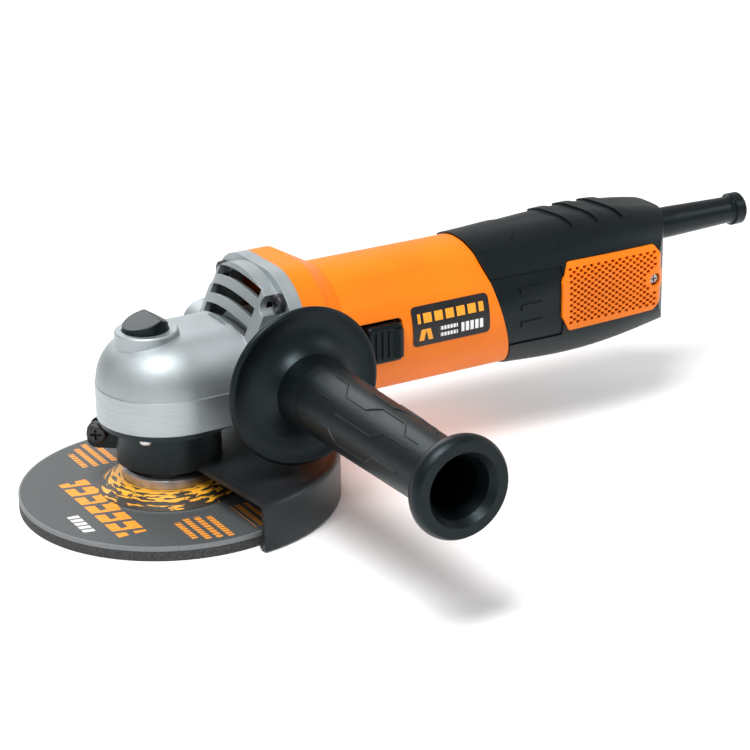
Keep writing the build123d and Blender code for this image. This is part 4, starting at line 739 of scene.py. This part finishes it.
@dataclass
class SideHandle(SubAssembly):
    """The screw-in side handle, with the raised angular ribs of its grip."""

    axis_x: float = 36.3
    axis_z: float = 57.3
    grip_radius: float = 14.6
    taper_start: float = 70.0
    taper_length: float = 88.0
    taper: float = 1.4
    rib_height: float = 0.35
    rib_foot: float = -0.25
    rib_end: float = -0.1
    rib_half: float = 0.55
    arc_per_degree: float = 0.25
    paths: tuple[tuple[tuple[float, float], ...], ...] = (
        ((80, 96), (90, 96), (97, 118), (112, 118), (118, 100), (134, 100), (140, 118), (150, 118)),
        ((84, 62), (98, 62), (104, 84), (120, 84), (128, 62), (142, 62), (147, 76)),
        ((76, 136), (92, 136), (98, 150), (124, 150), (131, 134), (148, 134)),
        ((88, 30), (104, 30), (110, 44), (126, 44), (132, 28), (144, 28)),
        ((78, 176), (96, 176), (102, 196), (122, 196), (128, 178), (146, 178)),
    )

    def tube_radius(self, reach: float) -> float:
        """Finds the radius of the tapered grip.

        Args:
            reach: Distance from the spindle plane in millimetres.

        Returns:
            The radius in millimetres.
        """
        along = max(0.0, reach - self.taper_start)
        return self.grip_radius - along * (self.taper / self.taper_length)

    def point(self, reach: float, angle: float, lift: float) -> Vector:
        """A point over the grip.

        Args:
            reach: Distance from the spindle plane in millimetres.
            angle: Angle round the grip in degrees, 0 towards the motor.
            lift: Height over the surface in millimetres.

        Returns:
            The point in metres.
        """
        radius = self.tube_radius(reach) + lift
        x = self.axis_x + radius * math.cos(math.radians(angle))
        z = self.axis_z + radius * math.sin(math.radians(angle))
        return Vector((x, -reach, z)) * MM

    def build(self, palette: Palette) -> bpy.types.Object:
        """Builds the ribs as low ridges that follow the grip.

        Args:
            palette: The finishes.

        Returns:
            The ribs.
        """
        form = bmesh.new()
        for path in self.paths:
            line = self.even(path)
            rings = []
            for i, (reach, angle) in enumerate(line):
                before = line[max(0, i - 1)]
                after = line[min(len(line) - 1, i + 1)]
                arc = math.radians(1) * self.tube_radius(reach)
                way = Vector((after[0] - before[0], (after[1] - before[1]) * arc)).normalized()
                end = i in (0, len(line) - 1)
                lift = self.rib_end if end else self.rib_height
                ring = []
                foot = self.rib_foot
                for across, high in ((-1.0, foot), (-0.5, lift), (0.5, lift), (1.0, foot)):
                    off = across * self.rib_half
                    spot = self.point(reach - way[1] * off, angle + way[0] * off / arc, high)
                    ring.append(form.verts.new(spot))
                rings.append(ring)
            for one, two in zip(rings, rings[1:]):
                for k in range(3):
                    form.faces.new((one[k], one[k + 1], two[k + 1], two[k]))
                form.faces.new((one[3], one[0], two[0], two[3]))
            form.faces.new(rings[0])
            form.faces.new(list(reversed(rings[-1])))
        bmesh.ops.recalc_face_normals(form, faces=form.faces)
        slot = "black_plastic"
        return finished("side_handle_ribs", form, palette.get(slot), "side_handle")

    def even(self, path: tuple[tuple[float, float], ...]) -> list[tuple[float, float]]:
        """Divides a path into short steps.

        Args:
            path: Corners, as reach in millimetres and angle in degrees.

        Returns:
            Points about a millimetre apart.
        """
        line = []
        for (r0, a0), (r1, a1) in zip(path, path[1:]):
            count = max(2, int(math.hypot(r1 - r0, (a1 - a0) * self.arc_per_degree)))
            line += [(r0 + (r1 - r0) * k / count, a0 + (a1 - a0) * k / count) for k in range(count)]
        return line + [path[-1]]


def finished(
    name: str, form: bmesh.types.BMesh, material: bpy.types.Material, body: str
) -> bpy.types.Object:
    """Turns mesh work into a piece that rides on a body.

    Args:
        name: Name of the piece.
        form: Its mesh.
        material: Its finish.
        body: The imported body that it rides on.

    Returns:
        The piece.
    """
    mesh = bpy.data.meshes.new(name)
    form.to_mesh(mesh)
    form.free()
    mesh.materials.append(material)
    piece = bpy.data.objects.new(name, mesh)
    bpy.context.scene.collection.objects.link(piece)
    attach(piece, body)
    LOG.info("%s: %d faces, on %s", name, len(mesh.polygons), body)
    return piece


@dataclass
class Studio:
    """Pale floor, soft lights and the camera.

    Heights, places of the camera and its lens are in millimetres, its turns in degrees, and the
    floor's radius and the point that the lights face are in metres.
    """

    floor_z: float = -1.0
    floor_radius: float = 6.0
    eye: Colour = (-395.3, -864.6, 418.7)
    yaw: float = 29.7
    pitch: float = 21.2
    roll: float = -0.9
    lens: float = 120.0
    sensor: float = 36.0
    middle: Colour = (0.1, 0.0, 0.04)
    sky_strength: float = 0.52

    def floor(self) -> None:
        """Lays a plain round floor."""
        form = bmesh.new()
        bmesh.ops.create_circle(form, cap_ends=True, segments=96, radius=self.floor_radius)
        mesh = bpy.data.meshes.new("floor")
        form.to_mesh(mesh)
        form.free()
        g = Graph("floor_paper")
        g.dress(g.mix(g.noise(3.0), (0.90, 0.90, 0.90), (0.92, 0.92, 0.92)), 0.85, None, 0.0)
        mesh.materials.append(g.material)
        plane = bpy.data.objects.new("floor", mesh)
        plane.location.z = self.floor_z * MM
        bpy.context.scene.collection.objects.link(plane)

    def light(self, name: str, place: Colour, size: float, power: float) -> None:
        """Hangs a soft square light that faces the tool.

        Args:
            name: Name of the light.
            place: Its place in metres.
            size: Its width in metres.
            power: Its power in watts.
        """
        lamp = bpy.data.lights.new(name, "AREA")
        lamp.size = size
        lamp.energy = power
        holder = bpy.data.objects.new(name, lamp)
        holder.location = place
        aim = Vector(self.middle) - Vector(place)
        holder.rotation_euler = aim.to_track_quat("-Z", "Y").to_euler()
        bpy.context.scene.collection.objects.link(holder)

    def sky(self) -> None:
        """Fills the space around with even white light."""
        sky = bpy.data.worlds.new("sky")
        sky.use_nodes = True
        background = sky.node_tree.nodes["Background"]
        background.inputs["Color"].default_value = (1.0, 1.0, 1.0, 1.0)
        background.inputs["Strength"].default_value = self.sky_strength
        bpy.context.scene.world = sky

    def build(self) -> None:
        """Sets up floor, lights, sky and camera."""
        self.floor()
        self.light("key_light", (-0.35, -0.35, 1.2), 0.55, 17.0)
        self.light("side_light", (1.3, -0.6, 0.7), 0.6, 3.2)
        self.light("back_light", (0.1, 1.2, 0.9), 0.9, 9.0)
        self.light("low_light", (-0.9, -1.1, 0.25), 0.5, 0.5)
        bpy.context.scene.view_settings.view_transform = "Standard"
        self.sky()
        self.camera()

    def camera(self) -> None:
        """Places the camera and makes it the scene's own."""
        yaw, pitch, roll = (math.radians(a) for a in (self.yaw, self.pitch, self.roll))
        level = math.cos(pitch)
        ahead = Vector((math.sin(yaw) * level, math.cos(yaw) * level, -math.sin(pitch)))
        right = Vector((math.cos(yaw), -math.sin(yaw), 0.0))
        above = right.cross(ahead)
        side = right * math.cos(roll) + above * math.sin(roll)
        top = above * math.cos(roll) - right * math.sin(roll)
        lens = bpy.data.cameras.new("camera")
        lens.lens = self.lens
        lens.sensor_width = self.sensor
        lens.clip_start = 0.01
        camera = bpy.data.objects.new("camera", lens)
        turn = Matrix((side, top, -ahead)).transposed().to_4x4()
        camera.matrix_world = Matrix.Translation(Vector(self.eye) * MM) @ turn
        bpy.context.scene.collection.objects.link(camera)
        bpy.context.scene.camera = camera


def sub_assemblies() -> list[SubAssembly]:
    """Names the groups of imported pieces.

    Returns:
        The sub-assemblies, the side handle apart.
    """
    rings = ("outer", "inner")
    bearings = tuple(f"{place}_bearing_{ring}" for place in ("front", "rear") for ring in rings)
    return [
        SubAssembly("disc", ("grinding_disc", "disc_label", "inner_flange", "lock_nut")),
        SubAssembly("guard", ("guard", "guard_band", "guard_clamp_screw", "guard_clamp_nut")),
        SubAssembly("spindle", ("spindle", "spindle_bearing_outer", "spindle_bearing_inner",
                                "spindle_upper_bush", "spindle_seal", "bearing_retaining_ring",
                                "ring_gear", "ring_gear_clip", "pinion", "pinion_nut")),
        # The bearing cover's black finish, from its slot in model.json, is painted shade: it stands
        # in for the dark gap under the gear head's belt.
        SubAssembly("gear_case", ("gear_head", "gear_head_screws", "bearing_cover",
                                  "bearing_cover_screws")),
        SubAssembly("spindle_lock", ("spindle_lock_button", "spindle_lock_pin", "spindle_lock_clip",
                                     "spindle_lock_spring")),
        SubAssembly("motor", ("armature_shaft", "armature_core", "armature_windings", "commutator",
                              "cooling_fan", "air_baffle", "stator_core", "field_coils",
                              "stator_screws", "brush_bracket", "brush_holders", "carbon_brushes",
                              "brush_springs", "rear_bearing_sleeve") + bearings),
        SubAssembly("housing", ("motor_housing", "name_plate")),
        SubAssembly("switch", ("switch_slider", "switch_link", "switch_body")),
        SubAssembly("rear_handle", ("rear_handle_left", "rear_handle_right", "vent_cover_left",
                                    "vent_cover_right", "rear_handle_screws")),
        SubAssembly("cord_entry", ("cord_sleeve", "cord_clamp", "cord_clamp_screws")),
    ]


def main() -> None:
    """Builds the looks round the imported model."""
    logging.basicConfig(level=logging.INFO, format="%(message)s")
    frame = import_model()
    palette = Palette()
    Studio().build()
    for group in sub_assemblies():
        group.dress(frame, palette)
    handle = SideHandle("side_handle", ("side_handle_grip", "side_handle_stud", "side_handle_washer"))
    handle.dress(frame, palette)
    handle.build(palette)


if __name__ == "__main__":
    main()
